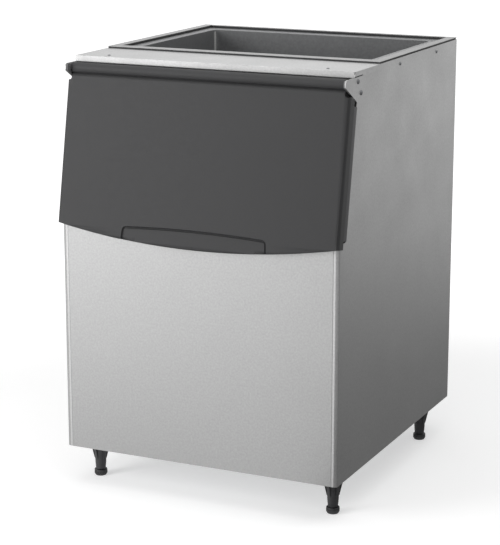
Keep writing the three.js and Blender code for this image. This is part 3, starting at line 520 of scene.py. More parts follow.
def foldLip(mesh, sizes=railFold):
    low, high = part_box("top_front_rail")
    near = sizes["slack"] * mm
    inside, slotRear = high.x - (sizes["sheet"] + sizes["clear"]) * mm, low.y + sizes["slotDepth"] * mm
    with opened(mesh) as shape:
        bisected(shape, [planeAt("x", inside / mm), planeAt("x", -inside / mm), planeAt("y", slotRear / mm),
                         planeAt("y", slotRear / mm + sizes["slotRamp"])])
        for point in shape.verts:
            x, y, z = point.co
            if abs(x) > inside + near and z < low.z + near and y < slotRear + near:
                point.co.z += sizes["slot"] * mm
            aside = Vector((x - math.copysign(high.x, x), y - low.y, 0))
            if aside.length < sizes["relief"] * mm:
                point.co += aside * (sizes["reliefGrowth"] - 1)
        strip = []
        for face in shape.faces:
            x, y, z = face.calc_center_median()
            underside = face.normal.z < -0.9 and z < low.z + near
            if underside and abs(x) < inside and y < low.y + sizes["sheet"] * mm:
                strip.append(face)
        hinge = (0, low.y + sizes["radius"] * mm, low.z)
        turned = bmesh.ops.spin(shape, geom=strip, cent=hinge, axis=(1, 0, 0), angle=math.pi / 2,
                                steps=sizes["turns"], use_duplicate=False)["geom_last"]
        for point in cornersOf(turned):
            point.co.y += sizes["back"] * mm
        bmesh.ops.delete(shape, geom=strip, context="FACES_ONLY")


def layTapes(sizes=railFold):
    low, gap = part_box("top_front_rail")[0], sizes["tapeGap"] * mm
    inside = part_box("right_side_panel")[1].x + gap / 2
    near, rear = low.y + sizes["tapeFrom"] * mm, low.y + (sizes["slotDepth"] - sizes["tapeShort"]) * mm
    lower, upper = low.z - gap, low.z + sizes["slot"] * mm - 2 * gap
    outline = ((near, lower), (rear, lower), (rear, upper), (near, upper))
    for word, side in sides:
        mesh = ringMesh(word + "RailTape", [[(side * x, y, z) for y, z in outline]
                                            for x in (inside, inside + sizes["tape"] * mm)], [range(4)])
        with opened(mesh) as shape:
            roundEdges(shape, shape.edges[:], sizes["tapeEdge"])
        newPiece(mesh.name, mesh, blackRubber, "cabinet")


foldLip(topRail.data)
layTapes()

# Below the door's opening a rubber block closes each corner between the front's flange and the side.
# Its outline follows the inside of the side's bend, in the scene's own millimetres.
cornerBlock = {
    "outline": ((372.8, -386.4), (372.8, -403.1), (374.8, -402.6), (376.6, -401.8), (377.9, -401.0),
                (379.1, -400.0), (379.7, -398.3), (379.7, -364.2), (371.6, -364.2), (371.6, -386.4)),
    "low": 708, "top": 713.9, "edge": 0.25,
}


def fillCorners(sizes=cornerBlock):
    outline, middle = sizes["outline"], (sizes["low"] + sizes["top"]) / 2 * mm
    for word, side in sides:
        mesh = ringMesh(word + "CornerBlock", [[(side * x * mm, y * mm, z * mm) for x, y in outline]
                                               for z in (sizes["low"], sizes["top"])], [range(len(outline))])
        with opened(mesh) as shape:
            roof = [e for e in shape.edges if min(v.co.z for v in e.verts) > middle]
            roundEdges(shape, roof, sizes["edge"])
        newPiece(mesh.name, mesh, blackRubber, "cabinet")


fillCorners()
print("steel skin dressed")

# Door shell: its lower lip is pressed in for the fingers, with a crease at the foot of the short wall.
doorEdges = {"shell": 1.6, "tray": 2.0, "frame": 0.8, "bracket": 0.6, "pin": 0.5, "bushing": 0.3}
grip = {
    "halfWidth": 197, "top": -386.5, "bow": 5.5, "bowReach": 186, "flare": 9, "fall": 99, "corner": 11,
    "face": -8, "depth": 4.6, "wallFrom": -0.5, "wallTo": 1.3, "crease": 2.6, "creaseFrom": 0.6,
    "creaseTo": 6.6, "zoneTop": -376, "middleStep": 6, "middleReach": 150, "fadeFrom": -180,
    "fadeTo": -193, "fade": 0.85, "bossDepth": 5.1,
    "insets": (-1.2, -0.5, 0.1, 0.7, 1.3, 2.0, 2.8, 3.6, 4.4, 5.2, 6.0, 6.8, 8, 11, 16, 26, 38),
}
# The neck under the roll is a soft cove that runs out into the face.
cove = {
    "face": -8, "neck": -4, "deepest": -1.2, "rollBottom": -12.4, "from": -12.4, "to": -22.5, "low": -29.5,
    "steps": 8, "fullTo": 371.6, "goneAt": 378, "roll": 13, "ease": 1.5,
}


def coveBack(up, sizes=cove):
    share = progress(up, sizes["to"], sizes["from"])
    return sizes["face"] + (sizes["deepest"] - sizes["face"]) * share ** sizes["ease"]


def shapeCove(shape, sizes=cove):
    low, neck, roll = picked(sizes, "low neck rollBottom")
    bisected(shape, [planeAt("z", low)])
    zone = facesWhere(shape, lambda x, back, up: back < neck + 0.1 and low - 0.01 < up < roll + 0.1)
    planes = [planeAt("x", side * (sizes["fullTo"] - 0.3)) for _, side in sides]
    for i in range(1, sizes["steps"] + 1):
        planes.append(planeAt("z", sizes["from"] + (sizes["to"] - sizes["from"]) * i / sizes["steps"]))
    for point in cornersOf(bisected(shape, planes, zone)):
        x, back, up = point.co / mm
        share = progress(abs(x), sizes["goneAt"], sizes["fullTo"])
        point.co.y = (back + (coveBack(up) - back) * share) * mm
        if up > roll - 0.1:
            point.co.z = -math.sqrt(sizes["roll"] ** 2 - (point.co.y / mm) ** 2) * mm
    weld(shape, "shell")


def gripRise(x, sizes=grip):
    reach, bow = sizes["bowReach"], sizes["bow"]
    radius = (reach ** 2 + bow ** 2) / (2 * bow)
    return math.sqrt(radius ** 2 - min(abs(x), reach) ** 2) - (radius - bow)


def gripFlare(up, sizes=grip):
    return sizes["flare"] * (sizes["top"] - up) / sizes["fall"]


# How deep the grip is at a point of the face, in millimetres. The crease fades out at the left end.
def gripDepth(x, up, sizes=grip):
    corner = sizes["corner"]
    below = sizes["top"] + gripRise(x) - up
    within = sizes["halfWidth"] + gripFlare(up) - abs(x)
    inset = min(below, within)
    if below < corner and within < corner:
        inset = corner - math.hypot(corner - below, corner - within)
    wall = eased(progress(inset, sizes["wallFrom"], sizes["wallTo"]))
    crease = math.sin(math.pi * progress(inset, sizes["creaseFrom"], sizes["creaseTo"])) ** 2
    crease *= 1 - sizes["fade"] * eased(progress(x, sizes["fadeFrom"], sizes["fadeTo"]))
    return sizes["depth"] * wall + sizes["crease"] * crease


# Cuts the face along straight planes; lean moves its points while the cuts are made, so that the
# cuts follow the bowed and leaning walls.
def cutFace(shape, zone, planes, lean):
    for point, shift in [(v, lean(v.co)) for v in cornersOf(zone)]:
        point.co += shift
    zone = bisected(shape, planes, zone)
    for point in cornersOf(zone):
        back = point.co.copy()
        for _ in range(4):
            back = point.co - lean(back)
        point.co = back
    return zone


def cutGrip(shape, zone, sizes=grip):
    reach, insets = sizes["middleReach"], sizes["insets"]

    def leanOut(place):
        side = math.copysign(1, place.x) if abs(place.x) > reach * mm else 0
        return Vector((-side * gripFlare(place.z / mm) * mm, 0, 0))

    def leanDown(place):
        return Vector((0, 0, -gripRise(place.x / mm) * mm))

    ends = [planeAt("x", side * (sizes["halfWidth"] - inset)) for _, side in sides for inset in insets]
    middle = [planeAt("x", x) for x in range(-reach, reach + 1, sizes["middleStep"])]
    zone = bisected(shape, middle, cutFace(shape, zone, ends, leanOut))
    cutFace(shape, zone, [planeAt("z", sizes["top"] - inset) for inset in insets], leanDown)


def makeDoorShell(sizes=grip):
    mesh = frame["nodes"]["door_outer_shell"].data.copy()
    doorPlace = Matrix.Translation(hingeLine) @ Matrix.Rotation(-doorTilt, 4, "X")
    mesh.transform(doorPlace.inverted())
    top, face = sizes["zoneTop"], sizes["face"]
    limit = face + doorEdges["shell"] + 0.1
    with opened(mesh) as shape:
        for point in shape.verts:
            x, back, up = point.co / mm
            if up < top and back < face + sizes["bossDepth"]:
                point.co.y = face * mm
        weld(shape, "shell")
        bmesh.ops.dissolve_degenerate(shape, edges=shape.edges, dist=weldGap["grip"] * mm)
        joinFlats(shape)
        shapeCove(shape)
        roundEdges(shape, sharpEdges(shape), doorEdges["shell"], 3, clamp=True)
        bisected(shape, [planeAt("z", top)])
        cutGrip(shape, facesWhere(shape, lambda x, back, up: up < top + 0.01 and back < limit))
        for point in shape.verts:
            x, back, up = point.co / mm
            if up < top and back < limit:
                point.co.y += gripDepth(x, up) * mm
        weld(shape, "grip")
    mesh.transform(doorPlace)
    weighNormals(newPiece("doorShell", mesh, doorPlastic, "door", ["door_outer_shell"], 50))


makeDoorShell()
edgesBroken("door_inner_tray", rimPlastic, doorEdges["tray"], "doorTray", 3, "door")

# The tray's rim fills the door's edge behind the shell on both sides and along the bottom.
trayRim = {
    "inner": 376.3, "outer": 383.4, "front": 26.4, "rear": 49.3, "top": -50, "low": -373.4,
    "lowInner": -366.3, "edge": 1.5,
}


def makeTrayRim(sizes=trayRim):
    inner, outer, top = sizes["inner"], sizes["outer"], sizes["top"]
    outline = [(-outer, top), (-outer, sizes["low"]), (outer, sizes["low"]), (outer, top), (inner, top),
               (inner, sizes["lowInner"]), (-inner, sizes["lowInner"]), (-inner, top)]
    mesh = ringMesh("doorTrayRim", [[onDoor(x, back, up) for x, up in outline]
                                    for back in (sizes["front"], sizes["rear"])],
                    ((0, 1, 6, 7), (1, 2, 5, 6), (2, 3, 4, 5)))
    with opened(mesh) as shape:
        roundEdges(shape, sharpEdges(shape), sizes["edge"], 3, clamp=True)
    newPiece(mesh.name, mesh, rimPlastic, "door")


# The notch for each hinge bracket ends right under it, so that no foam shows beside the ear.
notch = {"side": 2, "reach": 20, "rise": 5}


def closeNotches(mesh, sizes=notch):
    reach, _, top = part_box("right_hinge_bracket")[0]
    for point in mesh.vertices:
        under = top - sizes["reach"] * mm < point.co.z < top
        if under and abs(point.co.x) > reach - sizes["side"] * mm:
            point.co += onDoor(0, 0, sizes["rise"]) - onDoor(0, 0, 0)


makeTrayRim()
closeNotches(edgesBroken("opening_frame", doorPlastic, doorEdges["frame"]).data)
for word, _ in sides:
    edgesBroken(word + "_hinge_bracket", bracketPlastic, doorEdges["bracket"])
    edgesBroken(word + "_hinge_pin", zincScrew, doorEdges["pin"])
    edgesBroken(word + "_hinge_bushing", whiteNylon, doorEdges["bushing"], body="door")
    edgesBroken(word + "_base_bar", zincSheet, skinEdges["bar"])
print("door dressed")


# Geometry Nodes: a tree with named inputs, and a plain mesh out of it
def startTree(name, inputs):
    tree = bpy.data.node_groups.new(name, "GeometryNodeTree")
    tree.interface.new_socket("Geometry", in_out="INPUT", socket_type="NodeSocketGeometry")
    for title, kind in inputs:
        tree.interface.new_socket(title, in_out="INPUT", socket_type="NodeSocket" + kind)
    tree.interface.new_socket("Geometry", in_out="OUTPUT", socket_type="NodeSocketGeometry")
    return tree, addNode(tree, "NodeGroupInput").outputs


def endTree(tree, geometry, material):
    real = addNode(tree, "GeometryNodeRealizeInstances", {0: geometry})
    painted = addNode(tree, "GeometryNodeSetMaterial", {"Geometry": real, "Material": material})
    addNode(tree, "NodeGroupOutput", {0: painted})
    return tree


# Runs a tree on a mesh and hands back the finished mesh; the helper object goes again.
def grown(name, mesh, tree, values):
    helper = linked(name + "Start", mesh)
    modifier = helper.modifiers.new("tree", "NODES")
    modifier.node_group = tree
    for item in tree.interface.items_tree:
        if item.in_out == "INPUT" and item.name in values:
            modifier[item.identifier] = values[item.name]
    graph = bpy.context.evaluated_depsgraph_get()
    result = bpy.data.meshes.new_from_object(helper.evaluated_get(graph), depsgraph=graph)
    result.name = name
    bpy.data.objects.remove(helper)
    return result


# Pan-head screws with a cross recess, each turned home to its own angle
screwHead = {
    "radius": 4.0, "height": 2.8, "shank": 1.75, "length": 9, "lift": 0.05,
    "recessSpan": 3.9, "recessWidth": 0.85, "recessDepth": 1.25, "seed": 7,
}
# The two that hold each hinge bracket are larger.
hingeScrewHead = dict(screwHead, radius=6.2, height=3.5, shank=2.2, recessSpan=5.4, recessWidth=1.2,
                      recessDepth=1.8, seed=3)
sideScrewHead = dict(screwHead, radius=4.4, height=3.0, recessSpan=4.3, recessWidth=0.95, seed=5)


def screwMesh(sizes):
    r, h, shank, length, lift = picked(sizes, "radius height shank length lift")
    return turnedMesh("screwBlank", [
        (0, -length), (shank * 0.5, -length), (shank, -length * 0.8), (shank, lift), (r * 0.96, lift),
        (r, h * 0.12), (r * 0.98, h * 0.38), (r * 0.9, h * 0.66), (r * 0.74, h * 0.88), (r * 0.52, h * 0.98),
        (0, h),
    ], 24)


# The two slots of the recess differ a little in depth, so that they don't share a floor.
def screwTree():
    tree, given = startTree("screwsOnPoints", [
        ("Blank", "Object"), ("Recess Span", "Float"), ("Recess Width", "Float"), ("Recess Depth", "Float"),
        ("Head Height", "Float"), ("Seed", "Int"), ("Finish", "Material"),
    ])
    cut = addNode(tree, "GeometryNodeObjectInfo", {"Object": given["Blank"]}).outputs["Geometry"]
    lift = addNode(tree, "ShaderNodeCombineXYZ", {2: given["Head Height"]})
    for along, across, depth in (("Recess Span", "Recess Width", 2.0), ("Recess Width", "Recess Span", 1.86)):
        down = addNode(tree, "ShaderNodeMath", {0: given["Recess Depth"], 1: depth}, operation="MULTIPLY")
        size = addNode(tree, "ShaderNodeCombineXYZ", {0: given[along], 1: given[across], 2: down})
        block = addNode(tree, "GeometryNodeMeshCube", {"Size": size})
        slot = addNode(tree, "GeometryNodeTransform", {"Geometry": block, "Translation": lift})
        cut = addNode(tree, "GeometryNodeMeshBoolean", {"Mesh 1": cut, "Mesh 2": slot},
                      operation="DIFFERENCE")
    facing = addNode(tree, "GeometryNodeInputNamedAttribute", {"Name": "facing"}, data_type="FLOAT_VECTOR")
    aimed = addNode(tree, "FunctionNodeAlignRotationToVector", {"Vector": facing}, axis="Z")
    turn = addNode(tree, "FunctionNodeRandomValue", {2: 0.0, 3: 6.283, "Seed": given["Seed"]},
                   data_type="FLOAT").outputs[1]
    spin = addNode(tree, "FunctionNodeAxisAngleToRotation", {"Axis": (0, 0, 1), "Angle": turn})
    placed = addNode(tree, "FunctionNodeRotateRotation", {"Rotation": aimed, "Rotate By": spin},
                     rotation_space="LOCAL")
    spread = addNode(tree, "GeometryNodeInstanceOnPoints", {
        "Points": given["Geometry"], "Instance": cut, "Rotation": placed})
    return endTree(tree, spread, given["Finish"])


screwsOnPoints = screwTree()


# Where a node's screw meets its sheet, from its box, and which way its head faces
def screwPlace(node, axis, direction):
    low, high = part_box(node)
    place, facing = (low + high) / 2, [0, 0, 0]
    top = high[axis] if direction > 0 else low[axis]
    place[axis] = top - direction * screwHead["height"] * mm
    facing[axis] = direction
    return place, facing


def driveScrews(name, nodes, axis, direction, sizes=screwHead, extra=()):
    places = [screwPlace(node, axis, direction) for node in nodes] + list(extra)
    points = bpy.data.meshes.new(name + "Points")
    points.from_pydata([place for place, _ in places], [], [])
    points.attributes.new("facing", "FLOAT_VECTOR", "POINT").data.foreach_set(
        "vector", [value for _, facing in places for value in facing])
    blank = linked("screwBlank", screwMesh(sizes))
    mesh = grown(name, points, screwsOnPoints, {
        "Blank": blank, "Recess Span": sizes["recessSpan"] * mm, "Recess Width": sizes["recessWidth"] * mm,
        "Recess Depth": sizes["recessDepth"] * mm, "Head Height": sizes["height"] * mm,
        "Seed": sizes["seed"], "Finish": zincScrew,
    })
    bpy.data.objects.remove(blank)
    newPiece(name, mesh, zincScrew, "cabinet", nodes, 30)


for word, side in sides:
    names = [f"{word}_side_screw_{i}" for i in range(1, 5)]
    names.sort(key=lambda name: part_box(name)[0].y)
    driveScrews(word + "HingeScrews", names[:2], 0, side, hingeScrewHead)
    driveScrews(word + "SideScrews", names[2:], 0, side, sideScrewHead)
driveScrews("railScrews", ["rail_screw_1", "rail_screw_2"], 2, 1)

# The back panel has more screws up each side than the nodes.
extraScrews = {"count": 4, "reach": 371, "depth": 826, "low": 60, "high": 955.5}


def driveBackScrews(sizes=extraScrews):
    reach, depth, low, high, count = picked(sizes, "reach depth low high count")
    rows = []
    for i in range(1, count + 1):
        height = low + (high - low) * i / (count + 1)
        rows += [(inCabinet(side * reach, depth, height), [0, 1, 0]) for _, side in sides]
    driveScrews("backPanelScrews", [f"back_panel_screw_{i}" for i in range(1, 5)], 1, 1, extra=rows)


driveBackScrews()
print("screws driven")


# Ribs set round an upright axis, on a turned blank
def ribTree():
    tree, given = startTree("ribsRoundAxis", [
        ("Rib", "Object"), ("Count", "Int"), ("First Angle", "Float"), ("Finish", "Material"),
    ])
    rib = addNode(tree, "GeometryNodeObjectInfo", {"Object": given["Rib"]}).outputs["Geometry"]
    line = addNode(tree, "GeometryNodeMeshLine", {"Count": given["Count"], "Offset": (0, 0, 0)})
    number = addNode(tree, "GeometryNodeInputIndex")
    step = addNode(tree, "ShaderNodeMath", {0: 2 * math.pi, 1: given["Count"]}, operation="DIVIDE")
    turn = addNode(tree, "ShaderNodeMath", {0: number, 1: step, 2: given["First Angle"]},
                   operation="MULTIPLY_ADD")
    angles = addNode(tree, "ShaderNodeCombineXYZ", {2: turn})
    ribs = addNode(tree, "GeometryNodeInstanceOnPoints",
                   {"Points": line, "Instance": rib, "Rotation": angles})
    both = addNode(tree, "GeometryNodeJoinGeometry")
    tree.links.new(given["Geometry"], both.inputs[0])
    tree.links.new(ribs.outputs[0], both.inputs[0])
    return endTree(tree, both, given["Finish"])


ribsRoundAxis = ribTree()


# A turned blank with a flat plate set round it at even steps: corners of radius and height, with
# broken edges
def withRibs(mesh, corners, thickness, edge, count, firstAngle):
    half = thickness * mm / 2
    plate = ringMesh("rib", [[(r * mm, side * half, h * mm) for r, h in corners] for _, side in sides],
                     [range(len(corners))])
    with opened(plate) as shape:
        roundEdges(shape, shape.edges[:], edge, profile=0.6)
    rib = linked("rib", plate)
    mesh = grown(mesh.name, mesh, ribsRoundAxis, {
        "Rib": rib, "Count": count, "First Angle": firstAngle, "Finish": blackNylon})
    bpy.data.objects.remove(rib)
    return mesh


# Legs: moulded socket that flares to its flange, six gussets, and a foot that screws out of it
legSizes = {
    "flange": 29, "flangeDepth": 3, "flare": 20, "flareDrop": 57, "tube": 15.0, "tubeEnd": 13.2,
    "drop": 86.2, "gussetThickness": 2.6, "gussets": 6, "gussetEdge": 0.5, "firstGusset": 25,
    "ridge": 0.5, "ridges": 12, "ridgeThickness": 1.6, "ridgeEdge": 0.35,
}
footSizes = {
    "height": 16.5, "pad": 3.6, "radius": 15.2, "collar": 17.0, "stem": 6, "stemHeight": 40,
    "gripCount": 20, "gripWidth": 3.2, "gripEdge": 0.5,
}


def legMesh(sizes=legSizes):
    f, t, e, end, drop, depth, flare = picked(sizes, "flange tube tubeEnd drop flareDrop flangeDepth flare")
    mesh = turnedMesh("leg", [
        (0, -end), (6.4, -end), (e - 1.2, -end), (e - 0.3, -end + 0.4), (e, -end + 1.3), (e + 0.1, -end + 6),
        (t - 0.6, -drop - 12), (t - 0.1, -drop - 1), (t, -drop + 3), (t + 0.6, -drop + 12),
        (flare, -depth - 9), (flare + 1.4, -depth - 3), (flare + 3.5, -depth - 0.8), (f - 1.2, -depth - 0.1),
        (f - 0.3, -depth + 0.3), (f, -depth + 1), (f, -1.1), (f - 0.3, -0.6), (f - 0.9, -0.3), (0, -0.3),
    ], 48)
    mesh = withRibs(mesh, [
        (5, -1.8), (f - 0.4, -1.8), (f - 0.4, -depth - 3), (f - 5.0, -depth - 20), (t + 1.2, -drop + 1.5),
        (t - 1.5, -drop - 1.5), (5, -drop - 1.5)],
        sizes["gussetThickness"], sizes["gussetEdge"], sizes["gussets"], math.radians(sizes["firstGusset"]))
    return withRibs(mesh, [
        (e - 4, -drop - 3), (t + sizes["ridge"] - 0.5, -drop - 5), (e + sizes["ridge"], -end + 8),
        (e - 0.6, -end + 5), (e - 4, -end + 5)],
        sizes["ridgeThickness"], sizes["ridgeEdge"], sizes["ridges"], math.pi / sizes["ridges"])


def footMesh(sizes=footSizes):
    r, c, h, pad, stem = picked(sizes, "radius collar height pad stem")
    top = h + sizes["stemHeight"]
    mesh = turnedMesh("foot", [
        (0, 0), (r - 2.2, 0), (r - 1.2, 0.3), (r - 0.3, 1.2), (r, 2.2), (r + 0.2, pad - 0.6), (c - 1.2, pad),
        (c - 0.7, pad + 0.6), (c - 0.6, h - 3.0), (c, h - 2.4), (c, h - 1.0), (c - 0.3, h - 0.4),
        (c - 0.9, h - 0.1), (c - 1.8, h - 0.2), (c - 2.6, h - 1.6), (stem + 1.2, h - 1.8),
        (stem, h - 0.8), (stem, top - 1), (stem - 1, top), (0, top),
    ], 60)
    return withRibs(mesh, [
        (c - 3, pad + 0.9), (c + 0.2, pad + 0.9), (c + 0.2, h - 3.2), (c - 0.4, h - 2.2), (c - 3, h - 2.2)],
        sizes["gripWidth"], sizes["gripEdge"], sizes["gripCount"], 0.0)


leg, foot = legMesh(), footMesh()
for row in ("front", "rear"):
    for column, _ in sides:
        corner = f"{row}_{column}_"
        low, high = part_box(f"{row}_{column}_foot")
        for part, mesh, base, body in (("leg", leg, cabinetCorner.z, "cabinet"),
                                       ("foot", foot, low.z, corner + "foot")):
            copy = mesh.copy()
            copy.transform(Matrix.Translation(((low.x + high.x) / 2, (low.y + high.y) / 2, base)))
            newPiece(camel(corner + part), copy, blackNylon, body, [corner + part], 35)
print("legs and feet made")


# Seal under the top ring: a strip of closed-cell rubber squeezed a little, so its sides belly out.
# Inner and outer are the left, right, near and far edges of a band in millimetres; its profile pairs
# are the share from the inner to the outer edge, and the share of its height.
sealSizes = {
    "inner": (-356.3, 356.3, 282.7, 812.3), "outer": (-379.5, 379.5, 250.3, 823.0),
    "base": 1014.3, "height": 5.2,
    "profile": [(0.03, 0), (0, 0.25), (0, 0.75), (0.03, 1), (0.97, 1), (1, 0.75), (1, 0.25), (0.97, 0)],
}
# Door gasket: a flat foot and a hollow lip with two soft rolls that meet the frame
gasketSizes = {
    "inner": (-358, 358, -348, -59), "outer": (-372, 372, -362, -45), "back": 44.3, "height": 5.7,
    "profile": [(0.02, 0), (0.0, 0.06), (0.02, 0.18), (0.09, 0.24), (0.05, 0.42), (0.05, 0.66), (0.12, 0.88),
                (0.26, 1.0), (0.40, 0.95), (0.5, 0.84), (0.60, 0.95), (0.74, 1.0), (0.88, 0.88), (0.95, 0.66),
                (0.95, 0.42), (0.91, 0.24), (0.98, 0.18), (1.0, 0.06), (0.98, 0)],
}


def layBand(name, sizes, body, node, place):
    def along(end, share):
        inner, outer = sizes["inner"][end], sizes["outer"][end]
        return inner + (outer - inner) * share

    rings = [[place(along(a, share), along(b, share), rise * sizes["height"])
              for share, rise in sizes["profile"]] for a, b in ((0, 2), (1, 2), (1, 3), (0, 3))]
    newPiece(name, ringMesh(name, rings + rings[:1]), blackRubber, body, [node], 50)


layBand("topSeal", sealSizes, "cabinet", "top_seal",
        lambda x, y, rise: inCabinet(x, y, sealSizes["base"] + rise))
layBand("doorGasket", gasketSizes, "door", "door_gasket",
        lambda x, up, rise: onDoor(x, gasketSizes["back"] + rise, up))
print("seals laid")


# Drain: threaded pipe with its flange in the sump, and the hexagon nut behind the back panel
drainSizes = {
    "bore": 8, "radius": 11, "flangeRadius": 13.5, "flange": 2, "inside": 767.7, "outside": 834,
    "height": 44, "threadPitch": 1.8, "threadDepth": 0.6, "threadLength": 16, "nutEdge": 0.6,
}


def makeDrain(sizes=drainSizes):
    length = sizes["outside"] - sizes["inside"]
    r, t, pitch, bore, flange, wide = picked(sizes, "radius threadDepth threadPitch bore flange flangeRadius")
    profile = [(r - 0.8, length), (r - t, length - 0.8)]
    turns = int(sizes["threadLength"] / pitch)
    for i in range(turns):
        at = length - 1 - i * pitch
        profile += [(r - t, at - pitch * 0.1), (r, at - pitch * 0.4), (r, at - pitch * 0.6),
                    (r - t, at - pitch * 0.9)]
    profile += [(r - 0.2, length - 1 - turns * pitch), (r - 0.2, 0), (wide, 0), (wide, -flange + 0.5),
                (wide - 0.5, -flange), (bore + 0.6, -flange), (bore, -flange + 0.6), (bore, length - 0.5),
                (bore + 0.5, length), (r - 0.8, length)]
    mesh = turnedMesh("drainPipe", profile, 40)
    mesh.transform(Matrix.Translation(inCabinet(0, sizes["inside"], sizes["height"]))
                   @ Matrix.Rotation(math.radians(-90), 4, "X"))
    newPiece(mesh.name, mesh, blackNylon, "cabinet", ["drain_pipe"])


makeDrain()
edgesBroken("drain_locknut", blackNylon, drainSizes["nutEdge"])
print("drain made")

# Liner, with a pale bead up each rear corner, a painted highlight along the corner: the bead's middle, ends
# and half section
bead = {"x": 319.4, "y": 762.4, "low": 75, "high": 1010, "halfWidth": 3.2, "stand": 1.5, "steps": 8,
        "taper": 4, "slim": 0.5}
linerEdge = 1.2


def makeBeads(sizes=bead):
    low, high, count = picked(sizes, "low high steps")
    levels = [(low, sizes["slim"]), (low + sizes["taper"], 1), (high - sizes["taper"], 1),
              (high, sizes["slim"])]
    for word, side in sides:
        rings = []
        for height, slim in levels:
            ring = []
            for angle in [2 * math.pi * i / count for i in range(count)]:
                across = sizes["halfWidth"] * math.cos(angle) * slim
                out = sizes["stand"] * math.sin(angle) * slim
                x = sizes["x"] - (out + across) * math.sqrt(0.5)
                y = sizes["y"] - (out - across) * math.sqrt(0.5)
                ring.append(inCabinet(side * x, y, height))
            rings.append(ring)
        # Each bead is painted pale, a painted highlight up the liner's corner.
        mesh = ringMesh(word + "SealantBead", rings, [range(count)])
        newPiece(mesh.name, mesh, cornerHighlightPaint, "cabinet", angle=60)


edgesBroken("bin_liner", linerSheet, linerEdge, segments=3)
makeBeads()

# The foam and the leg bolts keep their own shape and only take a finish.
for name, node in frame["nodes"].items():
    if "insulation" in name or name.endswith("bolt"):
        node.data.materials.clear()
        node.data.materials.append(wallFoam if "insulation" in name else zincScrew)


# 1 for the rays of the lens and of reflections, and for those through glass; else 0
def seenRay(tree):
    light = addNode(tree, "ShaderNodeLightPath")
    seen = light.outputs["Is Camera Ray"]
    for ray in ("Is Glossy Ray", "Is Transmission Ray"):
        seen = addNode(tree, "ShaderNodeMath", {0: seen, 1: light.outputs[ray]}, operation="MAXIMUM")
    return seen


# Brightness that changes with the distance from under the object, from near to far in metres
def gradedAway(tree, sizes):
    place = addNode(tree, "ShaderNodeTexCoord").outputs["Object"]
    away = addNode(tree, "ShaderNodeVectorMath", {0: place}, operation="LENGTH").outputs["Value"]
    return addNode(tree, "ShaderNodeMapRange", {
        "Value": away, "From Min": sizes["near"], "From Max": sizes["far"], "To Min": sizes["nearGlow"],
        "To Max": sizes["farGlow"]}, interpolation_type="SMOOTHSTEP")


def stagePiece(name, corners, material):
    mesh = bpy.data.meshes.new(name)
    mesh.from_pydata(corners, [], [(0, 1, 2, 3)])
    piece = newObject(name, mesh, material)
    piece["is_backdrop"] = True
    return piece


# Studio: a pale floor that glows for the lens and for reflections, and keeps the shadow. Its glow is dimmer
# near the object and white far out, a painted shade round the object that the lower steel mirrors.
studio = {
    "floorHalf": 40, "floor": "#d8d8d8", "nearGlow": 0.5, "farGlow": 0.95, "near": 1.0, "far": 2.6,
    "air": 0.3,
}


def makeFloor():
    reach = studio["floorHalf"]
    material, tree = startMaterial("paleFloor")
    glow = addNode(tree, "ShaderNodeMath", {0: seenRay(tree), 1: gradedAway(tree, studio)},
                   operation="MULTIPLY")
    matt = addNode(tree, "ShaderNodeBsdfDiffuse", {"Color": colour(studio["floor"])})
    white = addNode(tree, "ShaderNodeEmission", {"Strength": glow})
    both = addNode(tree, "ShaderNodeAddShader", {0: matt, 1: white})
    addNode(tree, "ShaderNodeOutputMaterial", {"Surface": both})
    stagePiece("floor", [(-reach, -reach, 0), (reach, -reach, 0), (reach, reach, 0), (-reach, reach, 0)],
               material)


def makeAir():
    world = bpy.data.worlds.new("studioAir")
    bpy.context.scene.world = world
    world.use_nodes = True
    tree = world.node_tree
    tree.nodes.clear()
    strength = addNode(tree, "ShaderNodeMapRange", {
        "Value": seenRay(tree), "To Min": studio["air"], "To Max": 1.0})
    back = addNode(tree, "ShaderNodeBackground", {"Color": (1, 1, 1, 1), "Strength": strength})
    addNode(tree, "ShaderNodeOutputWorld", {"Surface": back})


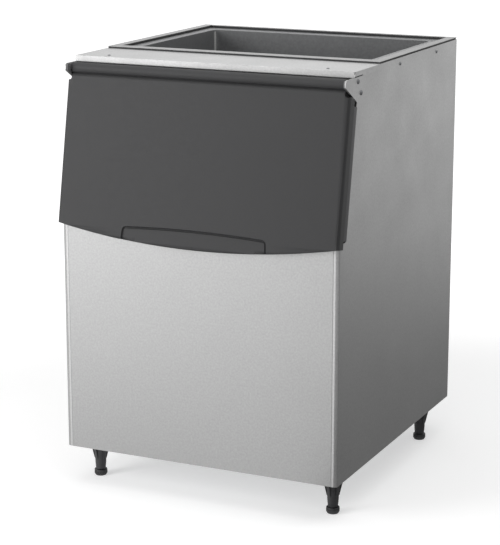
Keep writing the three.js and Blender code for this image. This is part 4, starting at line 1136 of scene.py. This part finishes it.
# Lamps: place and aim in metres, size in metres, power in watts
lamps = {
    "keyLamp": {"at": (-1.9, -2.7, 1.5), "aim": (-0.1, -0.3, 0.6), "size": 1.6, "power": 58},
    "fillLamp": {"at": (3.4, -2.0, 2.2), "aim": (0, 0, 0.6), "size": 2.4, "power": 6},
    "topLamp": {"at": (0.25, -0.5, 3.4), "aim": (-0.05, 0.15, 0.9), "size": 3.2, "power": 40},
    "wellLamp": {"at": (2.0, 0.3, 3.0), "aim": (-0.3, 0.3, 0.9), "size": 1.2, "power": 9},
    "rearLamp": {"at": (-1.2, 2.6, 2.2), "aim": (0, 0, 0.9), "size": 2.0, "power": 6},
}


def makeLamps():
    for name, sizes in lamps.items():
        data = bpy.data.lights.new(name, "AREA")
        data.shape = "DISK"
        data.size = sizes["size"]
        data.energy = sizes["power"]
        lamp = linked(name, data)
        lamp.location = sizes["at"]
        lamp.rotation_mode = "QUATERNION"
        lamp.rotation_quaternion = (Vector(sizes["aim"]) - Vector(sizes["at"])).to_track_quat("-Z", "Y")


# Cards that only reflections see, in metres. One lies on the floor to the right: the lower part of the
# right-hand panel mirrors its dark end. The other stands upright there and shades what turns away
# from the front.
darkCard = {
    "left": 0.3, "right": 4.4, "front": -2.6, "rear": 4.0, "height": 0.01, "near": 1.2, "far": 3.8,
    "nearGlow": 0.26, "farGlow": 0.85,
}
sideCard = {"x": 2.4, "front": -2.3, "rear": 1.2, "low": 0.05, "high": 1.9, "tone": 0.25}


def makeCard(name, finish, corners, toneOf):
    material, tree = startMaterial(finish)
    shine = addNode(tree, "ShaderNodeEmission", {"Strength": toneOf(tree)})
    addNode(tree, "ShaderNodeOutputMaterial", {"Surface": shine})
    card = stagePiece(name, corners, material)
    card.visible_camera = card.visible_diffuse = card.visible_shadow = card.visible_transmission = False


def makeCards():
    left, right, front, rear, z = picked(darkCard, "left right front rear height")
    lying = [(left, front, z), (right, front, z), (right, rear, z), (left, rear, z)]
    makeCard("darkCard", "gradedCard", lying, lambda tree: gradedAway(tree, darkCard))
    x, front, rear, low, high, tone = picked(sideCard, "x front rear low high tone")
    standing = [(x, front, low), (x, rear, low), (x, rear, high), (x, front, high)]
    makeCard("sideCard", "greyCard", standing, lambda tree: tone)


makeFloor()
makeCards()
makeAir()
makeLamps()
bpy.context.scene.view_settings.view_transform = "Standard"
print("studio lit")

low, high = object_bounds()
